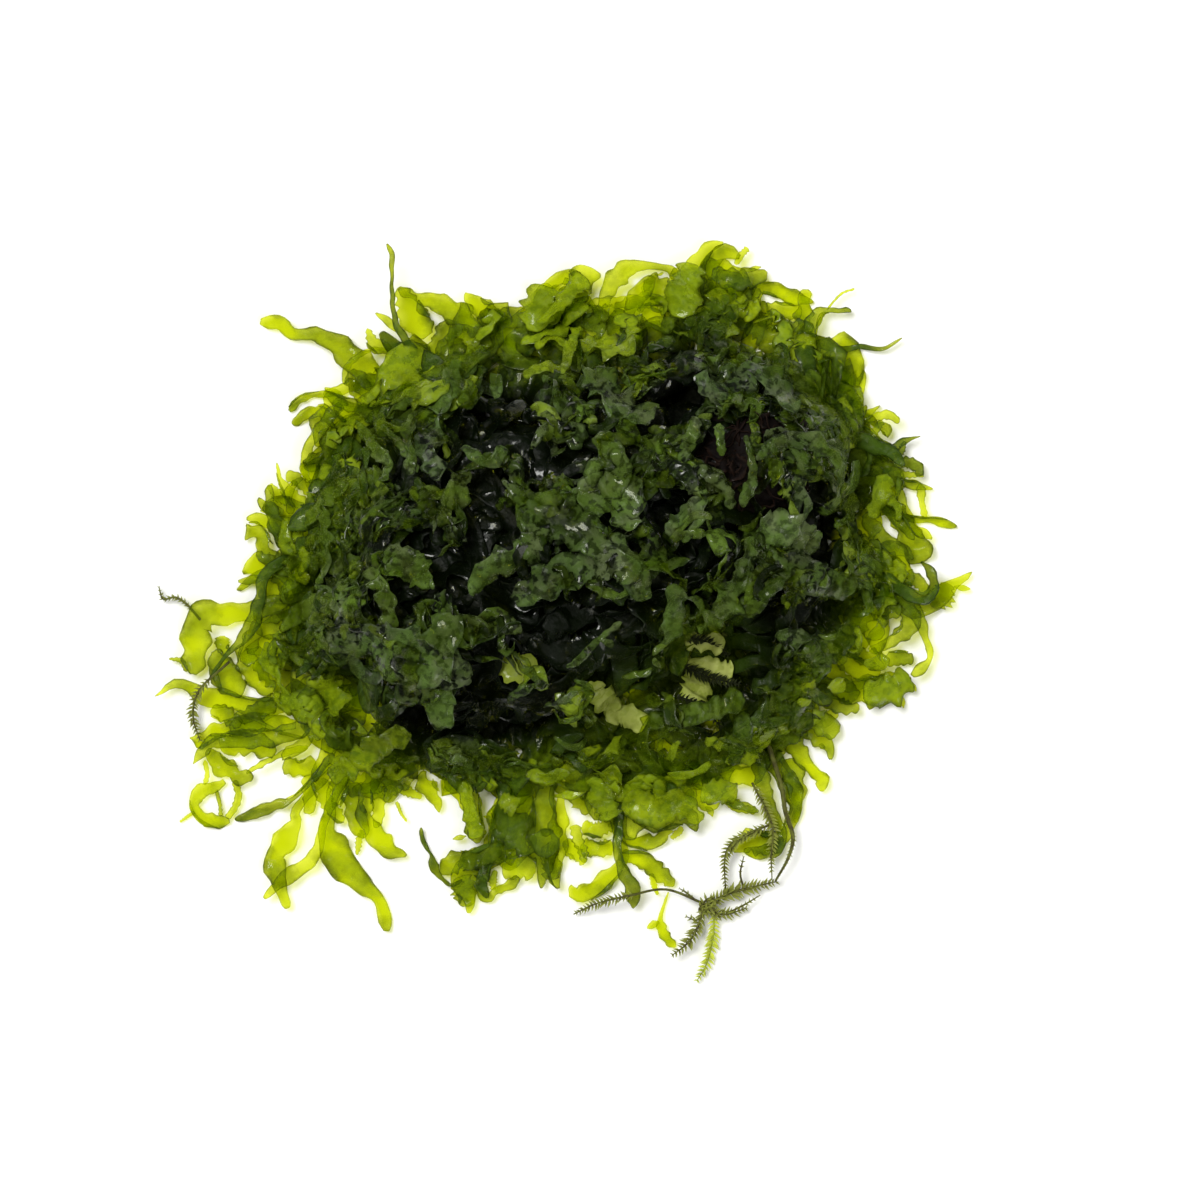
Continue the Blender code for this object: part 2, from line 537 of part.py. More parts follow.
def add_loose(name, table_row, thickness, ruffle, material, cutter):
    """A ribbon or sprig that lies beside the heart, trimmed to clear it where it meets it."""
    points = [Vector(p) for p in table_row[0]]
    route, places = smooth_route(points, ROW_SPACING)
    widths = [blend_list(table_row[1], place) for place in places]
    widths[0] *= TIP_TAPER
    ups = [Vector((0, 0, 1))] * len(route)
    piece = add_object(name, strap(route, widths, thickness, ups, ruffle), material)
    x, y, _ = table_row[0][-1]
    if heart_top(x, y)[1] < 1.0:
        add_boolean(piece, "DIFFERENCE", cutter)
    return piece


def build():
    clear_scene()
    deep_green = finish_material("deep_green", GREEN_DEEP, 0.35)
    bright_green = finish_material("bright_green", GREEN_BRIGHT, 0.3)
    moss_green = finish_material("moss_green", MOSS_GREEN, 0.6)
    brown = finish_material("old_brown", BROWN, 0.7)

    heart = add_object("matted_heart", heart_shell(), deep_green)
    add_boolean(heart, "UNION", add_curls())
    add_boolean(heart, "DIFFERENCE", add_object("brown_pocket", brown_lump(SEATING_GAP), guide=True))
    add_object("old_brown_growth", brown_lump(), brown)

    clearance = add_object("heart_clearance", heart_shell(floor=-2.0, swell=SEATING_GAP), guide=True)
    for name, row in RIBBONS.items():
        add_loose(name, row, RIBBON_THICKNESS, RIBBON_RUFFLE, bright_green, clearance)
    for name, row in MOSS.items():
        add_loose(name, row, row[2], 0.0, moss_green, clearance)


build()
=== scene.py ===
"""The looks of a wet clump of subwassertang: its film-thin ribbons, the old brown growth in its
heart and the moss that is caught in it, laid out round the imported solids. Lengths are
millimetres in the part's own frame, but the tables of spots are in tenths of one."""

import logging
import math
import random
from collections.abc import Callable, Sequence
from dataclasses import dataclass, field
from enum import Enum
from typing import Any

import bmesh
import bpy
import numpy as np
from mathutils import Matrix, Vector


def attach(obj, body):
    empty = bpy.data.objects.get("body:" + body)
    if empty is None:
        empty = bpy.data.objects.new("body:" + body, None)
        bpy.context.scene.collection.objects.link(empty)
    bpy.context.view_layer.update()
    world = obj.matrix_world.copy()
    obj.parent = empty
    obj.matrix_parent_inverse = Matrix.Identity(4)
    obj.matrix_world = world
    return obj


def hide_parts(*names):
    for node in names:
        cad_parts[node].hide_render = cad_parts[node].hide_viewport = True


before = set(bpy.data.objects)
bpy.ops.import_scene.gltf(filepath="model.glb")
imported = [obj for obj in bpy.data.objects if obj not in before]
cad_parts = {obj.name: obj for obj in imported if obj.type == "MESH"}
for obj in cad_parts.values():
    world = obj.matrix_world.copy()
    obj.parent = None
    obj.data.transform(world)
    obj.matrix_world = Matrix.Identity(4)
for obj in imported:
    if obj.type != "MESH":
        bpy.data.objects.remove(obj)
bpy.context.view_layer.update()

MM = 0.001
ROOT = "root"
UP = (0.0, 0.0, 1.0)
TRAITS = ("margin", "age", "heart", "dense")
PHASES = (0.0, 6.3)
Point = tuple[float, float, float]
Colour = tuple[float, float, float, float]
Spots = Sequence[Sequence[float]]
Shoot = tuple[Spots, tuple[float, float], float, float]
log = logging.getLogger("subwassertang")


class CutKind(Enum):
    """The shapes of thallus that the clump is made of."""

    RIBBON = "ribbon"
    BROAD = "broad"
    LOBED = "lobed"
    HORNED = "horned"
    FORKED = "forked"
    FINGERED = "fingered"
    LEAFLET = "leaflet"
    THREAD = "thread"


RIBBON, BROAD, LOBED, HORNED, FORKED, FINGERED, LEAFLET, THREAD = CutKind


# Materials


@dataclass(frozen=True)
class Wire:
    """One output of a material's nodes. Arithmetic on it adds Math nodes."""

    graph: "Graph"
    socket: bpy.types.NodeSocket

    def _calc(self, operation: str, first: "Wire | float", second: "Wire | float") -> "Wire":
        """Adds a Math node on two values."""
        return self.graph.node("ShaderNodeMath", {"operation": operation}, {0: first, 1: second})

    def __add__(self, other: "Wire | float") -> "Wire":
        """This value plus another."""
        return self._calc("ADD", self, other)

    __radd__ = __add__

    def __sub__(self, other: "Wire | float") -> "Wire":
        """This value less another."""
        return self._calc("SUBTRACT", self, other)

    def __rsub__(self, other: "Wire | float") -> "Wire":
        """Another value less this one."""
        return self._calc("SUBTRACT", other, self)

    def __mul__(self, other: "Wire | float") -> "Wire":
        """This value times another."""
        return self._calc("MULTIPLY", self, other)

    def __pow__(self, other: "Wire | float") -> "Wire":
        """This value to a power."""
        return self._calc("POWER", self, other)

    def clamped(self) -> "Wire":
        """This value kept between 0 and 1."""
        return self.graph.node("ShaderNodeClamp", sockets={"Value": self})

    def spread(self, low: float, high: float) -> "Wire":
        """This value stretched so that low becomes 0 and high becomes 1, with soft ends."""
        sockets = {"Value": self, "From Min": low, "From Max": high}
        return self.graph.node("ShaderNodeMapRange", {"interpolation_type": "SMOOTHSTEP"}, sockets)


class Graph:
    """The node tree of one new material."""

    def __init__(self, name: str) -> None:
        """Starts an empty tree.

        Args:
            name: The material's name.
        """
        self.material = bpy.data.materials.new(name)
        self.material.use_nodes = True
        self.tree = self.material.node_tree
        self.tree.nodes.clear()

    def node(
        self,
        kind: str,
        settings: dict[str, Any] | None = None,
        sockets: dict[str | int, Any] | None = None,
        output: str | int = 0,
    ) -> Wire:
        """Adds one node.

        Args:
            kind: The node's type.
            settings: Its settings, which are set first.
            sockets: Values or wires for its inputs, by name or number.
            output: The output to hand on.

        Returns:
            The chosen output.
        """
        made = self.tree.nodes.new(kind)
        for name, value in (settings or {}).items():
            setattr(made, name, value)
        for key, value in (sockets or {}).items():
            if isinstance(value, Wire):
                self.tree.links.new(value.socket, made.inputs[key])
            else:
                made.inputs[key].default_value = value
        return Wire(self, made.outputs[output]) if made.outputs else Wire(self, made.inputs[0])

    def place(self) -> Wire:
        """The point's own place on the piece, in metres."""
        return self.node("ShaderNodeTexCoord", output="Object")

    def trait(self, name: str) -> Wire:
        """A number that the mesh carries at each point."""
        return self.node("ShaderNodeAttribute", {"attribute_name": name}, output="Fac")

    def noise(self, grain_mm: float, detail: float = 2.0, rough: float = 0.5) -> Wire:
        """Cloudy variation from 0 to 1 whose blotches are about one grain across."""
        sockets = {
            "Vector": self.place(),
            "Scale": 1.0 / (grain_mm * MM),
            "Detail": detail,
            "Roughness": rough,
        }
        return self.node("ShaderNodeTexNoise", {"noise_dimensions": "3D"}, sockets)

    def blend(self, first: Wire | Colour, second: Wire | Colour, share: Wire | float) -> Wire:
        """Mixes two colours, all of the second where share is 1."""
        sockets = {0: share, 6: first, 7: second}
        return self.node("ShaderNodeMix", {"data_type": "RGBA"}, sockets, 2)

    def bump(self, height: Wire, depth_mm: float, strength: float) -> Wire:
        """The normal of a surface with this relief."""
        sockets = {"Height": height, "Distance": depth_mm * MM, "Strength": strength}
        return self.node("ShaderNodeBump", sockets=sockets)

    def surface(self, sockets: dict[str | int, Any]) -> Wire:
        """The shader of a surface that lets no light through."""
        return self.node("ShaderNodeBsdfPrincipled", sockets=sockets)

    def finish(self, shader: Wire) -> bpy.types.Material:
        """Ends the tree with its output and gives the material."""
        self.node("ShaderNodeOutputMaterial", sockets={"Surface": shader})
        return self.material


@dataclass(frozen=True)
class FilmFinish:
    """Wet see-through thallus. Some light passes each side of the film, tinted, and the rest
    meets a green surface with patches of water on it. Margins are denser than the middle, and
    growth in the heart of the clump lets less light through and is duller than at its rim.
    Painted shade darkens its creases, its buried growth and in part its margins, and a painted
    sheen greys it in patches."""

    name: str
    rim_colour: Colour
    rim_shade: Colour
    dense_colour: Colour
    heart_colour: Colour
    heart_fresh: Colour
    heart_shade: Colour
    painted_sheen: Colour
    cover: float
    dense_cover: float
    heart_cover: float
    margin_cover: float
    tint: Colour = (0.85, 0.882, 0.23, 1.0)

    def material(self) -> bpy.types.Material:
        """Builds the material.

        Returns:
            The film's material.
        """
        graph = Graph(self.name)
        margin, age, heart, dense = (graph.trait(name) for name in TRAITS)
        fine = graph.noise(0.5, 3.0, 0.65)
        blotch = graph.noise(2.6, 2.0)
        wrinkle = graph.noise(0.9, 3.0)
        wet = graph.noise(1.9, 2.0).spread(0.52, 0.62)
        patch = graph.noise(4.8, 2.0).spread(0.38, 0.64)
        sheen_cloud = graph.noise(3.4, 2.0).spread(0.44, 0.66)
        shadow = graph.noise(6.5, 1.0).spread(0.4, 0.6)
        edge = (margin ** 2.2) * 0.65 + (margin ** 0.9) * patch * 0.32
        mottle = (fine * 0.32 + blotch * 0.68).spread(0.34, 0.66)
        # Painted shade: the hollows of the wrinkle noise, which also drives the bump, darken the rim's and
        # the deep growth's colour.
        crease_shade = (0.52 - wrinkle).spread(0.0, 0.1)
        mix = (mottle * 0.55 + crease_shade * 0.35 + age * 0.85 - 0.32).clamped()
        rim = graph.blend(self.rim_colour, self.dense_colour, dense)
        rim = graph.blend(rim, self.rim_shade, mix)
        deep = graph.blend(self.heart_fresh, self.heart_colour, dense)
        # Painted sheen: grey patches stand in for the light that the wet surface reflects.
        deep = graph.blend(deep, self.painted_sheen, sheen_cloud * 0.6)
        # Deep growth darkens towards near black by its mottle and its age, and by painted shade: the
        # creases, large shadow patches and the shade of buried growth that the age carries.
        gloom = mottle * 0.55 + crease_shade * 0.55 + shadow * 0.46 + age * 1.15 - 0.52
        deep = graph.blend(deep, self.heart_shade, gloom.clamped())
        colour = graph.blend(rim, deep, heart)
        # Margins are darkened towards the near black shade colour: a denser margin, and in part painted
        # shade along the outlines.
        colour = graph.blend(colour, self.heart_shade, edge * (0.8 - heart * 0.3))
        cover = self.cover + dense * self.dense_cover + heart * self.heart_cover
        cover = cover + edge * self.margin_cover + (age - 0.5) * 0.14
        cover = cover + (mottle - 0.5) * (heart * 0.3 + 0.16)
        cover = cover + (patch - 0.45) * (0.26 + heart * 0.16)
        swell = graph.noise(1.5, 2.0)
        relief = graph.bump(swell * 0.75 + wrinkle * 0.25, 0.45, 0.9)
        rough = fine * 0.2 + 0.34 - wet * 0.2
        solid = graph.surface({
            "Base Color": colour,
            "Roughness": rough,
            "Specular IOR Level": 0.1,
            "Coat Weight": wet * 0.9,
            "Coat Roughness": 0.06,
            "Coat IOR": 1.4,
            "Normal": relief,
        })
        clear = graph.node("ShaderNodeBsdfTransparent", sockets={"Color": self.tint})
        sockets = {0: cover.clamped(), 1: clear, 2: solid}
        return graph.finish(graph.node("ShaderNodeMixShader", sockets=sockets))


@dataclass(frozen=True)
class SolidFinish:
    """Opaque wet growth, such as moss leaves and old fibres, mottled between two colours."""

    name: str
    colour: Colour
    shade: Colour
    tip: Colour
    rough: float
    grain_mm: float

    def material(self) -> bpy.types.Material:
        """Builds the material.

        Returns:
            The growth's material.
        """
        graph = Graph(self.name)
        age, margin = graph.trait("age"), graph.trait("margin")
        grain = graph.noise(self.grain_mm, 4.0, 0.65)
        mix = (grain.spread(0.34, 0.66) * 0.6 + age * 0.5 - 0.05).clamped()
        colour = graph.blend(graph.blend(self.colour, self.shade, mix), self.tip, margin * 0.8)
        return graph.finish(graph.surface({
            "Base Color": colour,
            "Roughness": (grain * 0.3 + self.rough).clamped(),
            "Specular IOR Level": 0.1,
            "Coat Weight": grain.spread(0.58, 0.7) * 0.3,
            "Coat Roughness": 0.12,
            "Normal": graph.bump(grain, 0.3, 0.8),
        }))


@dataclass(frozen=True)
class FloorFinish:
    """The pale matt table top."""

    name: str = "pale_floor"
    colour: Colour = (0.93, 0.93, 0.92, 1.0)

    def material(self) -> bpy.types.Material:
        """Builds the material."""
        graph, matt = Graph(self.name), {"Roughness": 0.6, "Specular IOR Level": 0.2}
        return graph.finish(graph.surface({"Base Color": self.colour, **matt}))


FILM = FilmFinish(
    name="wet_thallus",
    rim_colour=(0.27, 0.37, 0.014, 1.0),
    rim_shade=(0.044, 0.086, 0.006, 1.0),
    dense_colour=(0.09, 0.16, 0.014, 1.0),
    heart_colour=(0.072, 0.118, 0.032, 1.0),
    heart_fresh=(0.125, 0.22, 0.022, 1.0),
    heart_shade=(0.002, 0.004, 0.001, 1.0),
    painted_sheen=(0.15, 0.175, 0.09, 1.0),
    cover=0.055,
    dense_cover=0.34,
    heart_cover=0.33,
    margin_cover=0.44,
)
# Painted light: thalli coloured pale for the light that comes up through the thin places from below.
BACKLIT_FILM = FilmFinish(
    name="backlit_thallus",
    rim_colour=(0.56, 0.6, 0.2, 1.0),
    rim_shade=(0.32, 0.38, 0.06, 1.0),
    dense_colour=(0.48, 0.53, 0.14, 1.0),
    heart_colour=(0.54, 0.58, 0.2, 1.0),
    heart_fresh=(0.54, 0.58, 0.18, 1.0),
    heart_shade=(0.22, 0.27, 0.03, 1.0),
    painted_sheen=(0.6, 0.63, 0.26, 1.0),
    cover=0.5,
    dense_cover=0.2,
    heart_cover=0.16,
    margin_cover=0.2,
)
FRESH_FILM = FilmFinish(
    name="fresh_thallus",
    rim_colour=(0.38, 0.48, 0.006, 1.0),
    rim_shade=(0.1, 0.17, 0.006, 1.0),
    dense_colour=(0.17, 0.29, 0.012, 1.0),
    heart_colour=(0.12, 0.19, 0.024, 1.0),
    heart_fresh=(0.18, 0.26, 0.018, 1.0),
    heart_shade=(0.016, 0.028, 0.003, 1.0),
    painted_sheen=(0.19, 0.24, 0.06, 1.0),
    cover=0.44,
    dense_cover=0.25,
    heart_cover=0.2,
    margin_cover=0.3,
)
MOSS_DARK = SolidFinish(
    name="moss_dark",
    colour=(0.15, 0.17, 0.028, 1.0),
    shade=(0.036, 0.027, 0.012, 1.0),
    tip=(0.32, 0.36, 0.06, 1.0),
    rough=0.5,
    grain_mm=1.2,
)
MOSS_BRIGHT = SolidFinish(
    name="moss_bright",
    colour=(0.44, 0.52, 0.035, 1.0),
    shade=(0.13, 0.17, 0.015, 1.0),
    tip=(0.62, 0.68, 0.07, 1.0),
    rough=0.5,
    grain_mm=1.2,
)
# Painted shade: the moss deep in the clump's openings is coloured near black for the shade it lies in.
MOSS_SHADED = SolidFinish(
    name="moss_shaded",
    colour=(0.014, 0.018, 0.005, 1.0),
    shade=(0.005, 0.006, 0.002, 1.0),
    tip=(0.02, 0.026, 0.006, 1.0),
    rough=0.6,
    grain_mm=1.2,
)
OLD_GROWTH = SolidFinish(
    name="old_growth",
    colour=(0.0045, 0.0022, 0.0016, 1.0),
    shade=(0.002, 0.001, 0.001, 1.0),
    tip=(0.014, 0.006, 0.003, 1.0),
    rough=0.6,
    grain_mm=1.1,
)


# Meshes


@dataclass
class Mesh:
    """Points, four-cornered faces and the numbers that the points carry, before they become a
    piece. Rim faces are the film's own edge, which is shaded apart from its sides."""

    points: np.ndarray
    faces: np.ndarray
    rim: np.ndarray
    margin: np.ndarray
    age: np.ndarray
    heart: np.ndarray
    dense: np.ndarray

    @staticmethod
    def plain(
        points: np.ndarray, faces: np.ndarray, age: float, margin: np.ndarray | None = None
    ) -> "Mesh":
        """A mesh that isn't film.

        Args:
            points: Its points.
            faces: Its faces.
            age: How old the whole of it is.
            margin: How near the tip each point of a leaf is. A leaf's faces are shaded apart.

        Returns:
            The mesh.
        """
        none = np.zeros(len(points))
        rim = np.full(len(faces), margin is not None)
        margin = none if margin is None else margin
        return Mesh(points, faces, rim, margin, none + age, none, none + 1.0)

    @staticmethod
    def joined(parts: Sequence["Mesh"]) -> "Mesh":
        """Several meshes as one, with the faces renumbered."""
        starts = np.cumsum([0] + [len(p.points) for p in parts[:-1]])
        return Mesh(
            points=np.concatenate([p.points for p in parts]),
            faces=np.concatenate([p.faces + s for p, s in zip(parts, starts)]),
            **{
                name: np.concatenate([getattr(p, name) for p in parts])
                for name in ("rim", *TRAITS)
            },
        )


def make_piece(
    name: str, mesh: Mesh, material: bpy.types.Material, slot: str, *nodes: str
) -> None:
    """Makes a finished piece that rides with the clump.

    Args:
        name: The piece's name.
        mesh: Its points in millimetres, and faces.
        material: Its finish.
        slot: The record's material slot; it is not used.
        nodes: The CAD nodes that it stands for.
    """
    data = bpy.data.meshes.new(name)
    faces = mesh.faces
    corners = faces.reshape(-1)
    data.vertices.add(len(mesh.points))
    data.vertices.foreach_set("co", (mesh.points * MM).astype(np.float32).reshape(-1))
    data.loops.add(len(corners))
    data.loops.foreach_set("vertex_index", corners.astype(np.int32))
    data.polygons.add(len(faces))
    data.polygons.foreach_set("loop_start", np.arange(0, len(corners), 4, dtype=np.int32))
    data.update(calc_edges=True)
    for trait in TRAITS:
        layer = data.attributes.new(trait, "FLOAT", "POINT")
        layer.data.foreach_set("value", getattr(mesh, trait).astype(np.float32))
    data.shade_smooth()
    sharp = data.attributes.new("sharp_face", "BOOLEAN", "FACE")
    sharp.data.foreach_set("value", mesh.rim.astype(bool))
    data.materials.append(material)
    piece = bpy.data.objects.new(name, data)
    bpy.context.scene.collection.objects.link(piece)
    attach(piece, ROOT)
    if nodes:
        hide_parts(*nodes)
    log.info("%s: %d faces, stands for %s", name, len(faces), ", ".join(nodes) or "no node")


def choose_points(shape: bpy.types.Object, pick: Callable[[Vector], bool]) -> None:
    """Selects some points of the shape that is being edited.

    Args:
        shape: The shape.
        pick: Tells which of its points.
    """
    bpy.ops.mesh.select_all(action="DESELECT")
    mesh = bmesh.from_edit_mesh(shape.data)
    for vert in mesh.verts:
        vert.select_set(pick(vert.co))
    mesh.select_flush(True)
    bmesh.update_edit_mesh(shape.data)


def take_shape(blank: bpy.types.Object) -> tuple[np.ndarray, np.ndarray]:
    """Reads a modelled shape and removes its object.

    Args:
        blank: The object.

    Returns:
        Its points and its four-cornered faces.
    """
    points = np.array([vert.co[:] for vert in blank.data.vertices])
    faces = np.array([list(face.vertices) for face in blank.data.polygons])
    bpy.data.objects.remove(blank, do_unlink=True)
    return points, faces


@dataclass
class Cut:
    """One flat shape of thallus, modelled once. x runs from its root to its tips and y across,
    both in half widths, and z is half the film's thickness up or down."""

    points: np.ndarray
    faces: np.ndarray
    rim: np.ndarray
    margin: np.ndarray
    length: float
    rows: int


@dataclass(frozen=True)
class CutPlan:
    """How one kind of cut is made. Lengths are in half widths of the thallus."""

    rows: int
    across: int
    lobe: float
    pitch: float
    root: float = 0.5
    root_share: float = 0.16
    tip_share: float = 0.1
    branches: tuple[int, int] | None = None
    bulb: bool = False


CUT_PLANS = {
    RIBBON: CutPlan(40, 4, 0.3, 0.7, 0.5, 0.12, 0.08),
    BROAD: CutPlan(24, 8, 0.5, 1.25, 0.6, 0.12, 0.14),
    LOBED: CutPlan(20, 4, 0.42, 0.95, 0.55, 0.14, 0.12),
    HORNED: CutPlan(18, 4, 0.62, 0.62, 0.55, 0.14, 0.16),
    FORKED: CutPlan(7, 6, 0.3, 0.75, 0.5, 0.18, branches=(5, 8)),
    FINGERED: CutPlan(3, 6, 0.26, 0.95, 0.45, 0.25, branches=(4, 6)),
    LEAFLET: CutPlan(9, 4, 0.24, 1.15, 0.35, 0.55, 0.42),
    THREAD: CutPlan(22, 2, 0.15, 0.5, 0.8, 0.1, 0.05, bulb=True),
}


@dataclass
class ThallusCutter:
    """Models the flat shapes that every ribbon is bent from.

    A strip of grid is the start. Forks are extruded from halves of its end, a row at a time,
    the outline is rounded and its margin is drawn in and out in lobes, and Solidify gives the
    film its two sides."""

    row_step: float = 0.62
    cuts: dict[CutKind, list[Cut]] = field(default_factory=dict)

    def strip(self, rows: int, across: int) -> bpy.types.Object:
        """A flat grid from x = 0, two half widths across.

        Args:
            rows: Faces along it.
            across: Faces across it.

        Returns:
            The grid, as the active object.
        """
        bpy.ops.object.select_all(action="DESELECT")
        length = rows * self.row_step
        bpy.ops.mesh.primitive_grid_add(
            x_subdivisions=rows, y_subdivisions=across, size=2.0, location=(length / 2, 0, 0)
        )
        blank = bpy.context.object
        blank.scale = (length / 2, 1, 1)
        bpy.ops.object.transform_apply(location=True, rotation=True, scale=True)
        return blank

    def grow_branch(
        self, blank: bpy.types.Object, pick: Callable[[Vector], bool], heading: float,
        turn: float, scales: Sequence[float],
    ) -> None:
        """Extrudes a branch from some of the blank's end points, row by row.

        Args:
            blank: The shape that grows.
            pick: Tells which points the branch starts from.
            heading: The first row's direction from +X, in radians.
            turn: How much the direction changes with each row.
            scales: How much each new row is widened or narrowed.
        """
        bpy.ops.object.mode_set(mode="EDIT")
        bpy.ops.mesh.select_mode(type="VERT")
        choose_points(blank, pick)
        bpy.ops.mesh.select_mode(type="EDGE")
        facing = 0.0
        for scale in scales:
            step = self.row_step if scale > 0.75 else 0.5 * self.row_step
            move = (step * math.cos(heading), step * math.sin(heading), 0.0)
            bpy.ops.mesh.extrude_edges_move(TRANSFORM_OT_translate={"value": move})
            shape = bmesh.from_edit_mesh(blank.data)
            chosen = [v.co.copy() for v in shape.verts if v.select]
            centre = sum(chosen, Vector()) / len(chosen)
            spin = heading + turn / 2 - facing
            # With no window this operator turns clockwise for a positive angle.
            bpy.ops.transform.rotate(value=-spin, orient_axis="Z", center_override=centre)
            bpy.ops.transform.resize(value=(scale, scale, 1.0), center_override=centre)
            facing += spin
            heading += turn
        bpy.ops.object.mode_set(mode="OBJECT")

    def fork(
        self, blank: bpy.types.Object, end: float, rows: tuple[int, int], chance: random.Random
    ) -> None:
        """Splits the strip's end into two branches that part from each other.

        Args:
            blank: The shape that grows.
            end: The x of its end.
            rows: The least and most rows of faces in a branch.
            chance: The source of variation.
        """
        for side in (1.0, -1.0):
            def on_side(co: Vector, side: float = side) -> bool:
                """True for the end's points on one side of its middle."""
                return abs(co.x - end) < 0.05 and side * co.y > -0.05

            count = chance.randint(*rows)
            swell = chance.uniform(1.02, 1.12)
            scales = ([1.22, 1.1] + [swell, 1.0, 1 / swell, 1.0] * 4)[:count] + [0.86, 0.66, 0.5]
            opening = side * chance.uniform(0.3, 0.62)
            self.grow_branch(blank, on_side, opening, side * chance.uniform(-0.09, 0.07), scales)

    def make(self, kind: CutKind, seed: int) -> Cut:
        """Models one cut.

        Args:
            kind: Its form.
            seed: Fixes its variation.

        Returns:
            The finished cut.
        """
        chance = random.Random(seed)
        plan = CUT_PLANS[kind]
        blank = self.strip(plan.rows, plan.across)
        if plan.branches:
            self.fork(blank, plan.rows * self.row_step, plan.branches, chance)
        self.draw_margin(blank, plan, chance)
        bpy.ops.object.mode_set(mode="EDIT")
        bpy.ops.mesh.select_all(action="SELECT")
        bpy.ops.mesh.vertices_smooth(factor=0.5, repeat=1)
        bpy.ops.object.mode_set(mode="OBJECT")
        film = blank.modifiers.new("film", "SOLIDIFY")
        film.thickness = 1.0
        film.offset = 0.0
        bpy.context.view_layer.objects.active = blank
        bpy.ops.object.modifier_apply(modifier="film")
        return self.take(blank, plan.rows)

    def draw_margin(
        self, blank: bpy.types.Object, plan: CutPlan, chance: random.Random
    ) -> None:
        """Draws the flat shape's edge in and out and narrows its root and tip.

        Args:
            blank: The flat shape.
            plan: Its lobes, root and tip.
            chance: The source of variation.
        """
        shape = bmesh.new()
        shape.from_mesh(blank.data)
        layer = shape.verts.layers.float.new("margin")
        length = max(v.co.x for v in shape.verts)
        starts = {side: chance.uniform(0, 6.0) for side in (-1, 1)}
        slant = chance.uniform(0.7, 1.4)
        moves = []
        for vert in shape.verts:
            vert[layer] = 1.0 if vert.is_boundary else 0.0
            inner = [e.other_vert(vert) for e in vert.link_edges if not e.is_boundary]
            if not vert.is_boundary or not inner:
                continue
            out = (vert.co - inner[0].co).normalized()
            side = 1 if vert.co.y > 0 else -1
            phase = plan.pitch * vert.co.x + starts[side]
            lobe = abs(math.sin(phase)) + 0.45 * math.sin(slant * 2.3 * phase + starts[-side])
            lobe = lobe + 0.25 * math.sin(slant * 5.1 * phase)
            slow = math.sin(0.42 * vert.co.x + 2.1 * starts[side])
            shift = plan.lobe * (lobe - 0.6) + 0.12 * slow + chance.uniform(-0.06, 0.06)
            moves.append((vert, out * shift))
        for vert, move in moves:
            vert.co += move
        for vert in shape.verts:
            share = min(1.0, max(0.0, vert.co.x / length))
            from_root = min(1.0, share / plan.root_share)
            narrow = plan.root + (1 - plan.root) * math.sin(from_root * math.pi / 2)
            if not plan.branches:
                near_tip = max(0.0, 1 - (1 - share) / plan.tip_share)
                narrow *= math.sqrt(1 - 0.9 * near_tip ** 2)
            if plan.bulb:
                narrow *= 0.42 + 0.58 * math.exp(-((share - 0.9) / 0.07) ** 2) + 0.3 * share ** 3
            vert.co.y *= narrow
        shape.to_mesh(blank.data)
        shape.free()

    def take(self, blank: bpy.types.Object, rows: int) -> Cut:
        """Reads a finished cut's shape and removes its object.

        Args:
            blank: The closed shape.
            rows: The rows of faces along it.

        Returns:
            The cut.
        """
        margin = np.empty(len(blank.data.vertices), dtype=np.float32)
        blank.data.attributes["margin"].data.foreach_get("value", margin)
        points, faces = take_shape(blank)
        rim = np.ptp(points[faces, 2], axis=1) > 0.5
        points[:, 2] *= 1.0 - 0.5 * margin
        length = float(points[:, 0].max())
        return Cut(points, faces, rim, margin.astype(float), length, rows)

    def make_all(self, variants: int) -> None:
        """Models some variants of every kind.

        Args:
            variants: How many of each kind.
        """
        for number, kind in enumerate(CutKind):
            self.cuts[kind] = [self.make(kind, 100 * number + v) for v in range(variants)]
            log.info("cut %s: %d faces", kind.value, len(self.cuts[kind][0].faces))


# Laying the thalli


def curve_through(points: Sequence[Sequence[float]], steps: int = 10) -> np.ndarray:
    """A smooth curve through some points.

    Args:
        points: The points that it passes.
        steps: How many points of the curve each stretch gets.

    Returns:
        The curve's points, one per row.
    """
    known = np.asarray(points, dtype=float)
    padded = np.vstack([2 * known[0] - known[1], known, 2 * known[-1] - known[-2]])
    t = np.linspace(0.0, 1.0, steps, endpoint=False)[:, None]
    runs = []
    for before, start, end, after in zip(padded, padded[1:], padded[2:], padded[3:]):
        runs.append(0.5 * (
            2 * start + (end - before) * t
            + (2 * before - 5 * start + 4 * end - after) * t ** 2
            + (3 * start - before - 3 * end + after) * t ** 3
        ))
    return np.vstack([*runs, known[-1:]])


def unit(rows: np.ndarray) -> np.ndarray:
    """The rows, each made one long."""
    return rows / np.maximum(np.linalg.norm(rows, axis=1, keepdims=True), 1e-9)


def one_long(way: np.ndarray) -> np.ndarray:
    """A single direction, made one long."""
    return way / np.linalg.norm(way)


def run_along(path: np.ndarray) -> np.ndarray:
    """How far along a curve each of its points is."""
    gaps = np.linalg.norm(np.diff(path, axis=0), axis=1)
    return np.concatenate([[0.0], np.cumsum(gaps)])


def between(station: Any, run: np.ndarray, rows: np.ndarray) -> np.ndarray:
    """What the rows, one for each place of a run, come to at stations between those places."""
    return np.stack([np.interp(station, run, rows[:, k]) for k in range(3)], axis=-1)


def covers(spots: np.ndarray, half: float, gaps: Sequence[Point]) -> bool:
    """Tells whether a thallus would cover a gap.

    Args:
        spots: Points along the middle of it.
        half: Half of its width.
        gaps: The x, y and radius of each gap.

    Returns:
        True if it comes over one of them.
    """
    return any(
        np.hypot(spots[:, 0] - x, spots[:, 1] - y).min() < radius + half
        for x, y, radius in gaps
    )


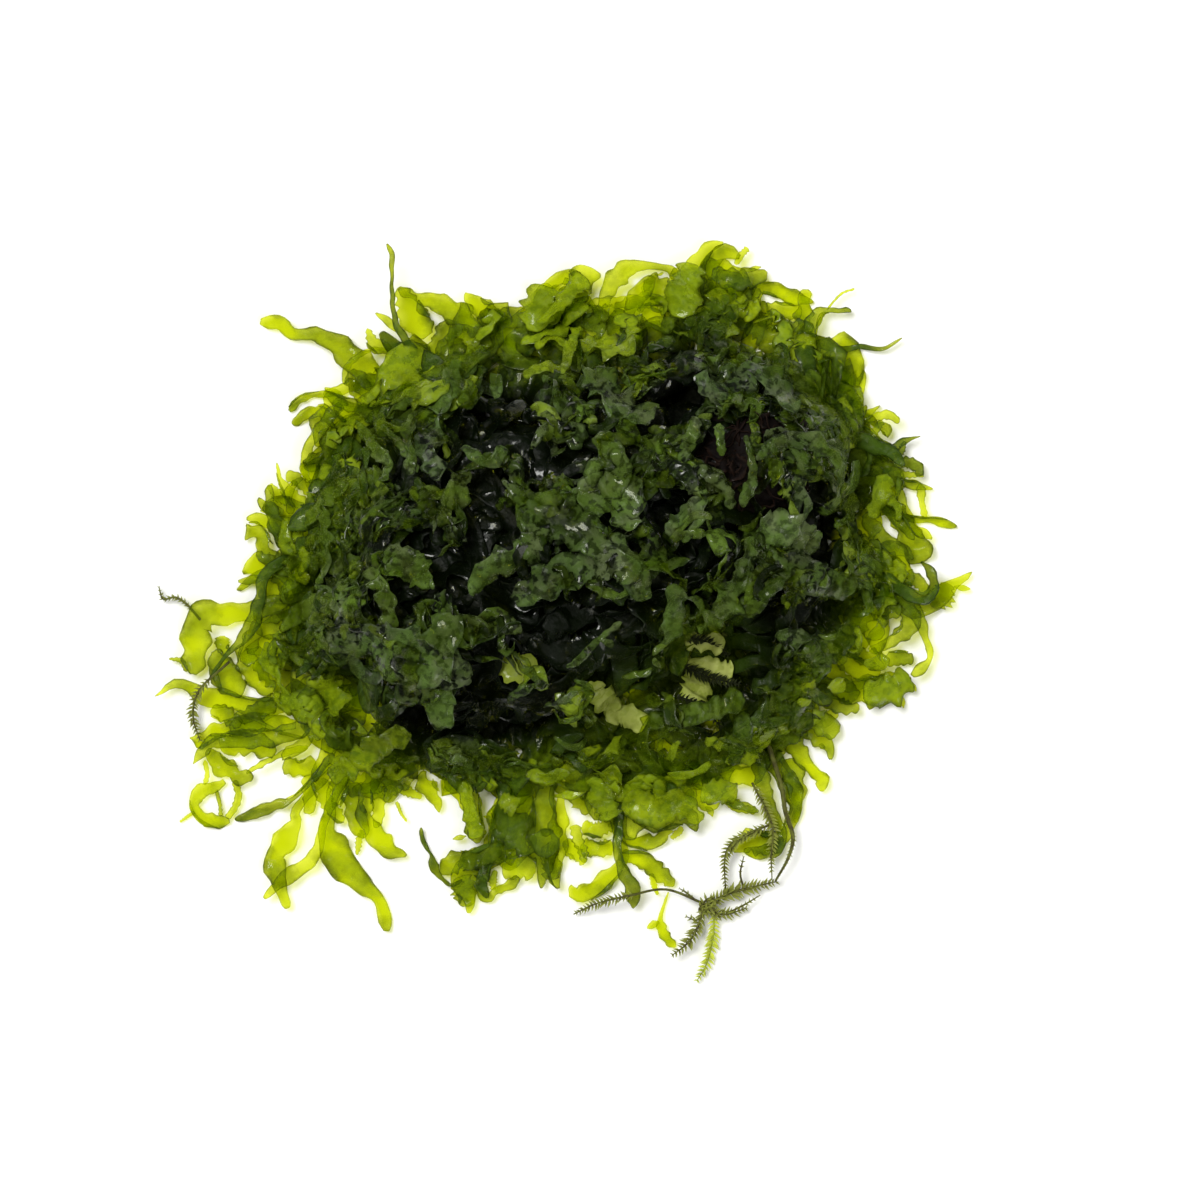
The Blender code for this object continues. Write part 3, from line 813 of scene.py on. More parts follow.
@dataclass(frozen=True)
class Mound:
    """The form of the clump: a domed heart and a low skirt of growth round it. Its outlines are
    radii from the centre at even turns from +X. Between the fill and the body's edge are only the
    loose ribbons. The deep radii tell where the growth gets too thick for light from below, and
    windows are thin places that let it through."""

    centre: tuple[float, float] = (2.0, 5.0)
    height: float = 21.5
    flank_power: float = 2.1
    crown_power: float = 0.78
    skirt_height: float = 5.0
    heart_radii: tuple[float, ...] = (
        36.5, 35.5, 35.0, 37.0, 35.5, 31.5, 29.0, 29.5, 31.5, 33.0, 33.0, 33.0,
        35.5, 38.0, 41.0, 34.0, 28.0, 26.5, 26.0, 27.0, 29.5, 32.5, 34.5, 37.5,
    )
    body_radii: tuple[float, ...] = (
        41.0, 41.7, 40.5, 39.3, 40.7, 41.8, 41.3, 40.6, 35.2, 33.2, 32.8, 33.5,
        35.3, 36.8, 37.0, 35.6, 36.1, 39.4, 38.8, 46.0, 47.4, 47.0, 40.6, 35.7,
        31.3, 35.9, 37.1, 38.4, 37.0, 34.4, 34.2, 34.7, 35.6, 35.6, 41.6, 42.6,
    )
    fill_radii: tuple[float, ...] = (
        39.5, 40.0, 39.5, 38.5, 39.5, 40.0, 39.0, 37.5, 34.0, 33.0, 32.8, 33.0,
        33.5, 34.5, 35.5, 35.0, 35.5, 37.0, 37.0, 39.5, 41.5, 40.5, 37.0, 34.0,
        30.5, 29.5, 28.5, 28.0, 28.5, 29.5, 30.5, 32.0, 33.0, 33.5, 36.5, 38.5,
    )
    deep_radii: tuple[float, ...] = (
        36.0, 36.0, 36.5, 35.5, 27.5, 26.5, 28.0, 30.5, 30.5,
        32.5, 37.5, 34.0, 28.0, 23.0, 23.5, 25.5, 29.5, 31.5,
    )
    windows: tuple[Point, ...] = (
        (17.0, -5.6, 5.2), (7.4, -12.2, 4.6), (-27.2, -9.8, 3.6), (-35.5, 2.5, 3.0),
    )
    brown_lump: Point = (21.5, 17.0, 17.4)
    brown_reach: tuple[float, float] = (10.0, 8.4)
    shade_past_mm: float = 2.5
    shade_width_mm: float = 9.0
    window_light: float = 0.9
    window_sink: float = 0.65
    knot_height: float = 1.7
    skirt_power: float = 0.7

    def outline(self, x: Any, y: Any, radii: tuple[float, ...]) -> Any:
        """The radius of an outline in the direction of a place."""
        turn = np.mod(np.arctan2(y - self.centre[1], x - self.centre[0]) / math.tau, 1.0)
        return np.interp(turn * len(radii), range(len(radii) + 1), (*radii, radii[0]))

    def place(self, turn: float, reach: float) -> tuple[float, float]:
        """The x and y at a turn from +X, in radians, and at a reach from the centre."""
        return self.centre[0] + reach * math.cos(turn), self.centre[1] + reach * math.sin(turn)

    def edge(self, turn: float, radii: tuple[float, ...]) -> float:
        """The radius of an outline at a turn from +X."""
        return float(self.outline(*self.place(turn, 1.0), radii))

    def radius(self, x: Any, y: Any) -> Any:
        """How far a place is from the centre."""
        return np.hypot(x - self.centre[0], y - self.centre[1])

    def farthest(self, points: np.ndarray) -> float:
        """How far out the farthest of some points is, where 1 is on the fill's outline."""
        return float(self.polar(points[:, 0], points[:, 1], self.fill_radii).max())

    def polar(self, x: Any, y: Any, radii: tuple[float, ...]) -> Any:
        """How far out a place is, where 1 is on the outline that the radii give."""
        return self.radius(x, y) / self.outline(x, y, radii)

    def glow(self, x: Any, y: Any) -> Any:
        """How much light the windows let up at a place, from 0 to 1."""
        lights = (np.exp(-((x - a) ** 2 + (y - b) ** 2) / size ** 2) for a, b, size in self.windows)
        return np.minimum(sum(lights), 1.0)

    def depth(self, x: Any, y: Any) -> Any:
        """Tells how much of the light from below is lost at a place.

        Args:
            x: The place's x, or many of them.
            y: The place's y, or as many.

        Returns:
            From 0 at the rim to 1 in the heart.
        """
        inside = self.outline(x, y, self.deep_radii) + self.shade_past_mm - self.radius(x, y)
        inside = np.clip(inside / self.shade_width_mm, 0.0, 1.0)
        return inside * inside * (3 - 2 * inside) * (1 - self.window_light * self.glow(x, y))

    def lump(self, x: Any, y: Any) -> Any:
        """The knotted surface's rise and fall."""
        return (
            np.sin(0.52 * x + 1.3) * np.cos(0.47 * y - 0.4)
            + 0.6 * np.sin(0.31 * x - 0.83 * y + 2.0)
            + 0.4 * np.sin(1.05 * x + 0.62 * y)
        ) / 2.0

    def top(self, x: Any, y: Any) -> Any:
        """The height of the clump's surface.

        Args:
            x: A place's x, or many of them.
            y: The place's y, or as many.

        Returns:
            Its height over the place.
        """
        heart = np.minimum(self.polar(x, y, self.heart_radii), 1.0)
        body = np.minimum(self.polar(x, y, self.body_radii), 1.0)
        dome = self.height * (1 - heart ** self.flank_power) ** self.crown_power
        dome = dome + self.knot_height * self.lump(x, y) * np.minimum(1.0, 3.2 * (1 - heart))
        (lump_x, lump_y, lump_top), (reach_x, reach_y) = self.brown_lump, self.brown_reach
        off = ((x - lump_x) / reach_x) ** 2 + ((y - lump_y) / reach_y) ** 2
        dome = np.maximum(dome, lump_top * np.sqrt(np.maximum(0.0, 1 - 0.5 * off)))
        dome = dome * (1 - self.window_sink * self.glow(x, y))
        skirt = 0.5 + self.skirt_height * (1 - body ** 2) ** self.skirt_power
        return np.maximum(dome, skirt)

    def up(self, x: float, y: float, share: float, step: float = 1.0) -> np.ndarray:
        """The direction square to a surface inside the clump, or to its own.

        Args:
            x: A place's x.
            y: A place's y.
            share: The share of the clump's height that the surface lies at.
            step: How far off the place its slope is taken.

        Returns:
            The direction, one long.
        """
        rise_x = (self.top(x + step, y) - self.top(x - step, y)) / (2 * step) * share
        rise_y = (self.top(x, y + step) - self.top(x, y - step)) / (2 * step) * share
        return one_long(np.array((-rise_x, -rise_y, 1.0)))


MOUND = Mound()


@dataclass
class Lay:
    """How one thallus lies. The route runs from its root to its tip, and it has a width and,
    unless it lies flat, an up direction at each of the route's points. With a share, it keeps
    within its loft of the surface at that share of the clump's height."""

    route: Sequence[Sequence[float]]
    widths: Sequence[float]
    ups: Sequence[Sequence[float]] | None = None
    ruffle: float = 0.32
    wave_mm: float = 3.6
    tilt: float = 0.0
    twist: float = 0.0
    cup: float = 0.0
    crumple: float = 0.22
    age: float = 0.5
    dense: float = 0.0
    share: float | None = None
    loft: float = 1.6


@dataclass(frozen=True)
class Bender:
    """Bends flat cuts along routes, with ruffled margins."""

    cutter: ThallusCutter
    film_mm: float = 0.12
    floor_mm: float = 0.06
    highest_mm: float = 24.2
    dark_below_mm: float = 2.0
    buried_shade_age: float = 1.25
    brightest: float = 0.42
    rows_to_wave: float = 4.6
    fewest_rows: int = 9
    thinnest_mm: float = 0.3
    reach_limit: float = 1.4

    def bend(self, kind: CutKind, lay: Lay, chance: random.Random) -> Mesh:
        """Bends one of the cuts of a kind.

        Args:
            kind: The thallus's form.
            lay: How it lies.
            chance: Picks the cut and its ruffles' phases.

        Returns:
            The bent thallus.
        """
        cut = chance.choice(self.cutter.cuts[kind])
        path = curve_through(lay.route)
        run = run_along(path)
        total = float(run[-1])
        station = np.clip(cut.points[:, 0] / cut.length, 0.0, 1.0) * total
        centre = between(station, run, path)
        along = unit(between(station, run, unit(np.gradient(path, axis=0))))
        places = run[:: (len(path) - 1) // (len(lay.route) - 1)]
        ups = np.asarray(lay.ups if lay.ups is not None else [UP] * len(lay.route), dtype=float)
        up = between(station, places, ups)
        side = unit(np.cross(up, along))
        up = np.cross(along, side)
        angle = (lay.tilt + lay.twist * (station / total - 0.3))[:, None]
        side, up = (
            side * np.cos(angle) + up * np.sin(angle),
            up * np.cos(angle) - side * np.sin(angle),
        )
        broad = curve_through([(width,) for width in lay.widths])[:, 0]
        half = np.interp(station, run, np.maximum(broad, self.thinnest_mm)) / 2
        off = cut.points[:, 1]
        reach = np.minimum(np.abs(off), self.reach_limit)
        phase = np.where(off > 0, chance.uniform(*PHASES), chance.uniform(*PHASES))
        finest = self.rows_to_wave * total / max(cut.rows, self.fewest_rows)
        wave = math.tau * station / max(lay.wave_mm, finest)
        ripple = np.sin(wave + phase) + 0.35 * np.sin(1.6 * wave + 2.3 * phase)
        rise = half * (lay.ruffle * reach ** 1.6 * ripple + lay.cup * reach ** 2)
        rise = rise + 0.12 * half * np.sin(0.55 * wave + phase[0])
        across = off * half
        turns = [chance.uniform(*PHASES) for _ in range(3)]
        fold = np.sin(1.9 * station + 1.3 * across + turns[0])
        fold = fold * np.sin(1.1 * station - 2.1 * across + turns[1])
        fold = fold + 0.5 * np.sin(3.4 * station - 1.6 * across + turns[2])
        rise = rise + lay.crumple * np.minimum(1.0, half) * fold
        points = centre + side * across[:, None] + up * rise[:, None]
        if lay.share is not None:
            ground = MOUND.top(points[:, 0], points[:, 1]) * lay.share
            above = points[:, 2] - ground
            points[:, 2] = ground + lay.loft * np.tanh(above / lay.loft)
        points = points + up * (cut.points[:, 2] * self.film_mm)[:, None]
        points[:, 2] += max(0.0, self.floor_mm - float(points[:, 2].min()))
        points[:, 2] -= max(0.0, float(points[:, 2].max()) - self.highest_mm)
        x, y = points[:, 0], points[:, 1]
        # Painted shade: the deeper a point lies under the clump's surface, the more age it is given, up to
        # the darkest value, so that buried growth in the heart is coloured near black.
        buried = np.clip((MOUND.top(x, y) - points[:, 2]) / self.dark_below_mm, 0.0, 1.0)
        fresh = self.brightest * chance.random() ** 2 * (1 - buried)
        heart = MOUND.depth(x, y) * (1 - fresh)
        ages_and_shade = lay.age + (self.buried_shade_age - lay.age) * heart * buried
        dense = np.full(len(points), lay.dense)
        return Mesh(points, cut.faces, cut.rim, cut.margin, ages_and_shade, heart, dense)


@dataclass(frozen=True)
class LayerPlan:
    """One layer of the tangle: how many thalli, where between floor and surface, and of what
    size. It fills an outline between two shares of its radii."""

    name: str
    count: int
    share: tuple[float, float]
    radii: tuple[float, ...]
    out: tuple[float, float]
    length: tuple[float, float]
    width: tuple[float, float]
    rise: tuple[float, float]
    tilt: float
    twist: float
    loft: float
    age: tuple[float, float]
    dense: tuple[float, float]
    kinds: tuple[CutKind, ...]


LONG_KINDS = (RIBBON, LOBED, HORNED, FORKED, LOBED)
SHORT_KINDS = (LOBED, HORNED, FINGERED, FORKED, LEAFLET)
CURLY_KINDS = (LEAFLET, FINGERED, LEAFLET, HORNED, THREAD, LOBED)
TINY_KINDS = (LEAFLET, LEAFLET, LEAFLET, LOBED)
LAYERS = (
    LayerPlan("tangle_floor", 150, (0.02, 0.2), MOUND.fill_radii, (0.3, 1.0), (9, 19),
              (2.6, 4.8), (0, 0.3), 0.25, 0.6, 1.0, (0.0, 0.6), (0.0, 0.3), LONG_KINDS),
    LayerPlan("tangle_low", 110, (0.25, 0.6), MOUND.fill_radii, (0.0, 0.9), (9, 18),
              (2.4, 4.8), (0, 0.4), 0.4, 1.0, 1.4, (0.0, 0.7), (0.0, 0.5), LONG_KINDS),
    LayerPlan("tangle_middle", 260, (0.6, 0.88), MOUND.deep_radii, (0.0, 1.0), (9, 18),
              (2.2, 4.4), (0, 0.5), 0.5, 1.2, 1.6, (0.4, 1.0), (0.3, 1.0), LONG_KINDS),
    LayerPlan("tangle_upper", 300, (0.86, 0.97), MOUND.deep_radii, (0.0, 1.02), (6, 14),
              (1.8, 4.2), (-0.3, 0.6), 0.5, 1.4, 1.8, (0.2, 1.0), (0.2, 1.0), SHORT_KINDS),
    LayerPlan("tangle_crown", 320, (0.98, 1.0), MOUND.deep_radii, (0.0, 1.02), (4, 9),
              (1.2, 3.2), (0.2, 1.4), 0.6, 1.4, 2.0, (0.0, 1.0), (0.0, 1.0), CURLY_KINDS),
    LayerPlan("tangle_curls", 420, (1.0, 1.0), MOUND.deep_radii, (0.0, 1.0), (2.4, 6.0),
              (0.9, 2.4), (0.4, 2.1), 0.9, 1.7, 2.4, (-0.3, 0.8), (0.0, 0.8), TINY_KINDS),
)


def in_mm(spots: Spots) -> tuple[tuple[float, ...], ...]:
    """Spots of a table, turned from tenths of a millimetre into millimetres."""
    return tuple(tuple(number / 10 for number in spot) for spot in spots)


def scattered(
    seed: int, count: int, radii: tuple[float, ...], out: tuple[float, float],
    size: tuple[float, float],
) -> tuple[Point, ...]:
    """Scatters small openings over part of the clump.

    Args:
        seed: The seed of their places.
        count: How many there are.
        radii: The outline that they are spread in.
        out: The nearest and farthest of them, as shares of that outline.
        size: Their smallest and largest radius.

    Returns:
        The x, y and radius of each.
    """
    chance = random.Random(seed)
    gaps = []
    for _ in range(count):
        turn = chance.uniform(0, math.tau)
        reach = math.sqrt(chance.uniform(out[0] ** 2, out[1] ** 2)) * MOUND.edge(turn, radii)
        gaps.append((*MOUND.place(turn, reach), chance.uniform(*size)))
    return tuple(gaps)


THIN_PLACES = scattered(3, 64, MOUND.fill_radii, (0.66, 0.98), (0.3, 1.1))
DARK_PLACES = scattered(4, 105, MOUND.deep_radii, (0.0, 0.85), (0.2, 1.3))
FRESH_LOBES = LayerPlan(
    "fresh_lobes", 250, (0.94, 1.0), MOUND.fill_radii, (0.5, 0.97), (2.6, 6.5), (1.2, 2.8),
    (0.2, 1.3), 0.5, 1.2, 1.4, (0.0, 0.4), (0.0, 0.5), (LEAFLET, LOBED, LEAFLET, HORNED),
)

# Openings, each with x, y and radius. Windows show thalli painted pale for the light from below,
# light gaps show the floor, and crevices show the inside of the clump, whose growth is painted dark as
# shade.
WINDOW_GAPS = in_mm((
    (170, -50, 23), (154, -88, 19), (195, -76, 16), (50, -96, 12), (72, -124, 19), (102, -142, 12),
    (-270, -96, 17), (-365, 30, 14),
))
LIGHT_GAPS = in_mm((
    (62, 346, 4), (110, 329, 4), (111, 308, 2), (143, 344, 3), (244, 332, 3), (248, 318, 3), (274, 368, 4),
    (-26, -223, 7), (10, -256, 5), (31, -244, 4), (40, -301, 8), (92, -313, 6), (-92, -325, 5),
    (254, -208, 4), (272, -247, 5), (388, -18, 2), (-74, -226, 3), (378, 104, 7), (290, 296, 4),
    (-305, 125, 3), (-240, 270, 3), (-363, -36, 4), (-395, -128, 3), (-360, -86, 3), (-296, 176, 4),
    (-150, 346, 3), (8, -192, 3),
))
CREVICES = in_mm((
    (-75, 85, 26), (-45, 12, 18), (-15, -35, 30), (-95, -105, 32), (-110, 20, 18), (125, 125, 17),
    (178, 180, 12), (15, 65, 14), (75, -45, 24), (-175, 75, 20), (120, 240, 20), (-20, 175, 18),
    (225, -30, 20), (-200, 10, 16), (-40, -135, 26), (254, 214, 9), (210, 120, 12), (-88, 150, 18),
    (-240, -80, 16), (305, -5, 18),
))

# Each loose ribbon's form, and x, y, z and width at spots from under the heart to its tip.
RIBBONS: dict[str, tuple[CutKind, Spots]] = {
    "nw_long": (RIBBON, ((-175, 252, 22, 40), (-215, 276, 20, 40), (-244, 293, 18, 39), (-259, 308, 17, 34),
      (-277, 323, 16, 25), (-295, 333, 14, 19), (-310, 332, 12, 16), (-325, 335, 11, 17),
      (-340, 345, 9, 20), (-364, 348, 8, 19))),
    "nw_spike": (RIBBON, ((-176, 310, 36, 12), (-196, 336, 38, 10), (-203, 356, 38, 7), (-205, 380, 39, 6),
      (-205, 404, 41, 5), (-205, 425, 44, 9), (-211, 440, 49, 4))),
    "n_broad": (RIBBON, ((-90, 315, 20, 30), (-118, 347, 18, 28), (-133, 359, 18, 30), (-154, 371, 17, 24),
      (-178, 377, 16, 15), (-198, 387, 15, 12))),
    "nw_finger_upper": (RIBBON, ((-225, 240, 9, 18), (-268, 251, 8, 18), (-283, 260, 7, 9),
      (-301, 260, 6, 8), (-316, 254, 6, 11), (-329, 240, 5, 9))),
    "nw_finger_lower": (RIBBON, ((-240, 205, 8, 20), (-283, 236, 6, 20), (-295, 239, 5, 16),
      (-310, 236, 5, 16), (-325, 224, 5, 10))),
    "wnw_loop": (RIBBON, ((-265, 248, 26, 22), (-278, 236, 24, 19), (-289, 221, 23, 15),
      (-304, 200, 22, 14), (-310, 176, 22, 12), (-306, 156, 22, 13), (-288, 146, 22, 12))),
    "wnw_spike": (RIBBON, ((-285, 110, 32, 19), (-322, 134, 30, 19), (-331, 146, 30, 16),
      (-340, 161, 32, 7), (-343, 178, 36, 3))),
    "w_lobe_upper": (RIBBON, ((-285, 65, 18, 28), (-330, 85, 17, 28), (-346, 112, 17, 20),
      (-352, 134, 17, 14), (-352, 152, 17, 12))),
    "w_lobe": (RIBBON, ((-305, 40, 6, 22), (-349, 62, 5, 24), (-364, 90, 5, 26), (-381, 104, 5, 18))),
    "w_broad": (RIBBON, ((-330, 15, 8, 26), (-376, 0, 6, 28), (-406, -4, 5, 27), (-427, -4, 5, 36),
      (-441, -16, 5, 39), (-442, -37, 5, 39), (-442, -58, 5, 33), (-444, -76, 5, 18))),
    "w_cross": (RIBBON, ((-330, 65, 22, 16), (-358, 44, 20, 16), (-364, 17, 19, 15), (-373, -16, 18, 20),
      (-385, -34, 18, 15), (-397, -45, 18, 8), (-412, -62, 18, 5), (-426, -84, 18, 5))),
    "w_tip": (HORNED, ((-330, -115, 6, 26), (-370, -112, 5, 26), (-409, -106, 5, 26), (-436, -97, 5, 22),
      (-454, -88, 5, 16), (-469, -88, 6, 13), (-479, -95, 6, 8), (-490, -102, 7, 4))),
    "w_low": (RIBBON, ((-320, -135, 6, 22), (-380, -134, 5, 24), (-409, -142, 5, 22), (-424, -148, 5, 20),
      (-436, -154, 5, 24), (-448, -151, 5, 9))),
    "w_low_tip": (RIBBON, ((-295, -135, 20, 24), (-350, -150, 18, 24), (-390, -154, 18, 24),
      (-422, -156, 18, 18), (-434, -169, 18, 14), (-444, -183, 18, 3))),
    "sw_hook": (RIBBON, ((-406, -203, 5, 14), (-418, -211, 5, 15), (-434, -216, 5, 18), (-443, -230, 5, 14),
      (-436, -244, 5, 17), (-418, -252, 5, 19), (-400, -252, 5, 14))),
    "sw_blade": (RIBBON, ((-275, -170, 22, 12), (-295, -195, 20, 8), (-322, -223, 16, 5),
      (-340, -231, 12, 13), (-358, -237, 9, 17), (-376, -244, 6, 14), (-394, -250, 5, 9))),
    "s_twist": (RIBBON, ((-245, -150, 8, 20), (-285, -195, 6, 16), (-312, -226, 5, 12), (-322, -241, 6, 16),
      (-321, -253, 6, 17), (-331, -270, 6, 31), (-344, -289, 5, 26), (-346, -301, 5, 28),
      (-342, -322, 5, 19), (-336, -340, 5, 16), (-330, -356, 5, 21))),
    "s_cross": (RIBBON, ((-240, -165, 20, 16), (-270, -215, 19, 14), (-286, -250, 18, 12),
      (-292, -274, 18, 15), (-298, -292, 18, 16), (-313, -307, 18, 19), (-331, -318, 18, 17),
      (-346, -331, 18, 13), (-359, -344, 18, 12))),
    "s_long": (RIBBON, ((-240, -165, 6, 24), (-270, -205, 5, 20), (-280, -232, 5, 16), (-283, -253, 5, 18),
      (-283, -268, 5, 28), (-274, -285, 5, 40), (-262, -304, 5, 41), (-247, -322, 5, 30),
      (-229, -337, 5, 20), (-220, -352, 5, 15), (-214, -370, 5, 20), (-212, -384, 5, 20))),
    "s_short": (RIBBON, ((-210, -165, 7, 24), (-230, -205, 5, 24), (-238, -244, 5, 20), (-226, -268, 5, 28),
      (-211, -283, 5, 26), (-188, -293, 5, 10))),
    "s_tassel": (RIBBON, ((-130, -165, 22, 16), (-117, -199, 20, 18), (-109, -220, 19, 18),
      (-106, -244, 19, 20), (-105, -262, 19, 24), (-102, -278, 19, 14))),
    "s_stick": (RIBBON, ((-121, -322, 5, 6), (-136, -328, 5, 5), (-150, -315, 5, 8), (-156, -304, 5, 13),
      (-159, -292, 5, 4), (-168, -276, 6, 7), (-171, -259, 9, 5))),
    "s_fork": (RIBBON, ((-55, -175, 7, 40), (-56, -220, 5, 46), (-64, -256, 5, 48), (-76, -284, 5, 38),
      (-102, -300, 5, 32), (-118, -312, 5, 32), (-116, -334, 5, 27), (-112, -348, 5, 17),
      (-114, -362, 5, 12))),
    "s_prong": (RIBBON, ((-75, -175, 21, 18), (-72, -230, 18, 18), (-78, -275, 18, 18), (-94, -306, 17, 16),
      (-98, -326, 9, 16), (-91, -344, 5, 10))),
    "s_mid_left": (RIBBON, ((-16, -175, 7, 28), (-24, -229, 5, 30), (-24, -256, 5, 39), (-22, -286, 5, 43),
      (-23, -310, 5, 24), (-27, -332, 5, 7))),
    "s_mid_arc": (RIBBON, ((44, -175, 7, 20), (56, -220, 5, 14), (64, -260, 5, 12), (72, -292, 5, 14),
      (62, -310, 5, 16), (50, -322, 5, 24), (32, -336, 5, 22), (14, -338, 5, 18), (8, -328, 5, 9))),
    "s_stalk": (RIBBON, ((62, -175, 20, 16), (65, -235, 18, 14), (66, -259, 18, 12), (65, -286, 18, 12),
      (71, -310, 18, 15), (80, -328, 18, 21), (84, -346, 18, 18), (83, -356, 18, 7))),
    "s_leaf_upper": (RIBBON, ((69, -175, 7, 16), (70, -245, 5, 14), (74, -274, 5, 10), (92, -277, 5, 19),
      (110, -277, 5, 21), (122, -265, 5, 15), (132, -264, 5, 5))),
    "s_shelf": (LOBED, ((102, -165, 20, 30), (96, -210, 18, 30), (104, -252, 18, 27), (128, -247, 18, 27),
      (149, -247, 18, 24), (161, -263, 18, 14))),
    "s_thread": (RIBBON, ((126, -336, 5, 3.5), (120, -354, 5, 4), (116, -368, 5, 6), (117, -378, 5, 14),
      (122, -389, 5, 14), (134, -403, 5, 8))),
    "se_curl": (RIBBON, ((235, -140, 7, 24), (253, -180, 5, 26), (274, -216, 5, 28), (278, -234, 5, 16),
      (272, -256, 5, 16), (256, -280, 5, 19), (236, -289, 5, 20), (216, -286, 5, 12))),
    "se_left": (RIBBON, ((170, -145, 20, 24), (175, -185, 18, 26), (184, -212, 18, 22), (200, -228, 18, 12),
      (216, -234, 18, 12), (234, -240, 18, 8))),
    "se_drop": (RIBBON, ((255, -125, 7, 26), (282, -168, 5, 24), (298, -190, 5, 15), (309, -202, 5, 18),
      (310, -216, 5, 13))),
    "e_broad": (LOBED, ((295, -85, 7, 30), (332, -94, 5, 30), (356, -94, 5, 36), (380, -94, 5, 42),
      (401, -88, 5, 36), (414, -76, 5, 18))),
    "e_loop": (RIBBON, ((370, 40, 20, 20), (410, 14, 18, 18), (428, -13, 18, 16), (432, -28, 18, 11),
      (438, -42, 18, 10), (439, -55, 18, 8), (433, -65, 18, 12), (417, -77, 18, 14))),
    "e_tip": (HORNED, ((355, 24, 6, 26), (415, 8, 5, 28), (443, 8, 5, 24), (456, 24, 5, 32),
      (469, 35, 6, 15), (481, 40, 7, 12), (490, 48, 8, 6))),
    "e_horn": (RIBBON, ((335, 55, 34, 24), (390, 34, 32, 22), (426, 16, 31, 18), (443, 26, 31, 15),
      (440, 46, 32, 13), (428, 60, 33, 7))),
    "ene_knee": (RIBBON, ((325, 122, 7, 28), (366, 136, 5, 28), (385, 134, 5, 24), (399, 115, 5, 20),
      (413, 95, 5, 12), (421, 86, 5, 6))),
    "ene_claw": (RIBBON, ((325, 162, 20, 26), (376, 162, 18, 26), (396, 144, 18, 22), (410, 120, 18, 14),
      (421, 100, 18, 12), (434, 92, 18, 12), (442, 87, 18, 7))),
    "ene_arm": (RIBBON, ((335, 144, 6, 18), (385, 122, 5, 14), (404, 115, 5, 9), (423, 110, 5, 9),
      (442, 110, 5, 8), (459, 105, 5, 12), (472, 102, 5, 8))),
    "ene_link": (RIBBON, ((305, 188, 7, 22), (370, 182, 5, 22), (394, 164, 5, 16), (409, 155, 5, 10),
      (423, 151, 5, 11), (443, 147, 6, 5))),
    "ene_diagonal": (RIBBON, ((245, 226, 36, 9), (265, 227, 35, 10), (296, 230, 34, 12), (320, 218, 33, 17),
      (344, 211, 32, 22), (370, 199, 31, 22), (394, 189, 31, 16), (408, 174, 31, 12))),
    "ne_twig": (RIBBON, ((290, 250, 20, 24), (355, 216, 18, 18), (389, 196, 18, 12), (404, 201, 18, 12),
      (416, 207, 18, 5), (428, 210, 18, 3))),
    "ne_tail": (RIBBON, ((250, 290, 7, 24), (280, 322, 5, 22), (293, 326, 5, 19), (314, 320, 5, 15),
      (332, 314, 5, 8), (356, 318, 6, 7), (383, 315, 10, 6), (406, 328, 14, 3))),
    "ne_prong": (RIBBON, ((245, 295, 20, 24), (286, 324, 18, 22), (296, 338, 18, 19), (302, 353, 18, 19),
      (311, 362, 18, 12), (329, 360, 16, 9), (345, 360, 12, 11))),
    "ne_crest": (RIBBON, ((205, 325, 7, 28), (226, 370, 5, 24), (236, 387, 5, 18), (254, 386, 5, 19),
      (275, 377, 5, 18), (300, 371, 5, 8))),
    "n_crown": (LOBED, ((175, 325, 7, 32), (174, 380, 5, 30), (173, 410, 5, 26), (185, 426, 5, 22),
      (197, 431, 6, 20), (212, 425, 7, 10))),
    "n_crown_left": (RIBBON, ((134, 310, 20, 40), (140, 359, 18, 42), (143, 383, 18, 40),
      (149, 404, 18, 28), (164, 425, 18, 18), (176, 437, 18, 14), (192, 442, 18, 8))),
    "n_arch": (RIBBON, ((48, 348, 26, 14), (50, 374, 24, 17), (57, 389, 22, 23), (69, 405, 18, 27),
      (85, 415, 16, 18), (109, 414, 14, 9), (129, 409, 16, 12), (136, 394, 20, 15))),
    "n_square": (RIBBON, ((-28, 320, 22, 14), (-7, 350, 26, 18), (12, 376, 28, 26), (24, 396, 26, 35),
      (29, 414, 24, 42))),
}

# The loose ribbons that are thick and dark green.
DARK_RIBBONS = frozenset((
    "s_stalk", "sw_blade", "ene_diagonal", "nw_spike", "ne_tail", "s_stick", "w_cross", "ne_twig",
    "s_prong", "e_horn",
))

# The loose ribbons that are thin and light.
CLEAR_RIBBONS = frozenset((
    "nw_long", "s_long", "s_twist", "s_cross", "s_short", "e_tip", "e_loop", "n_arch", "n_square",
    "n_broad", "w_broad", "wnw_loop", "s_thread", "se_drop",
))

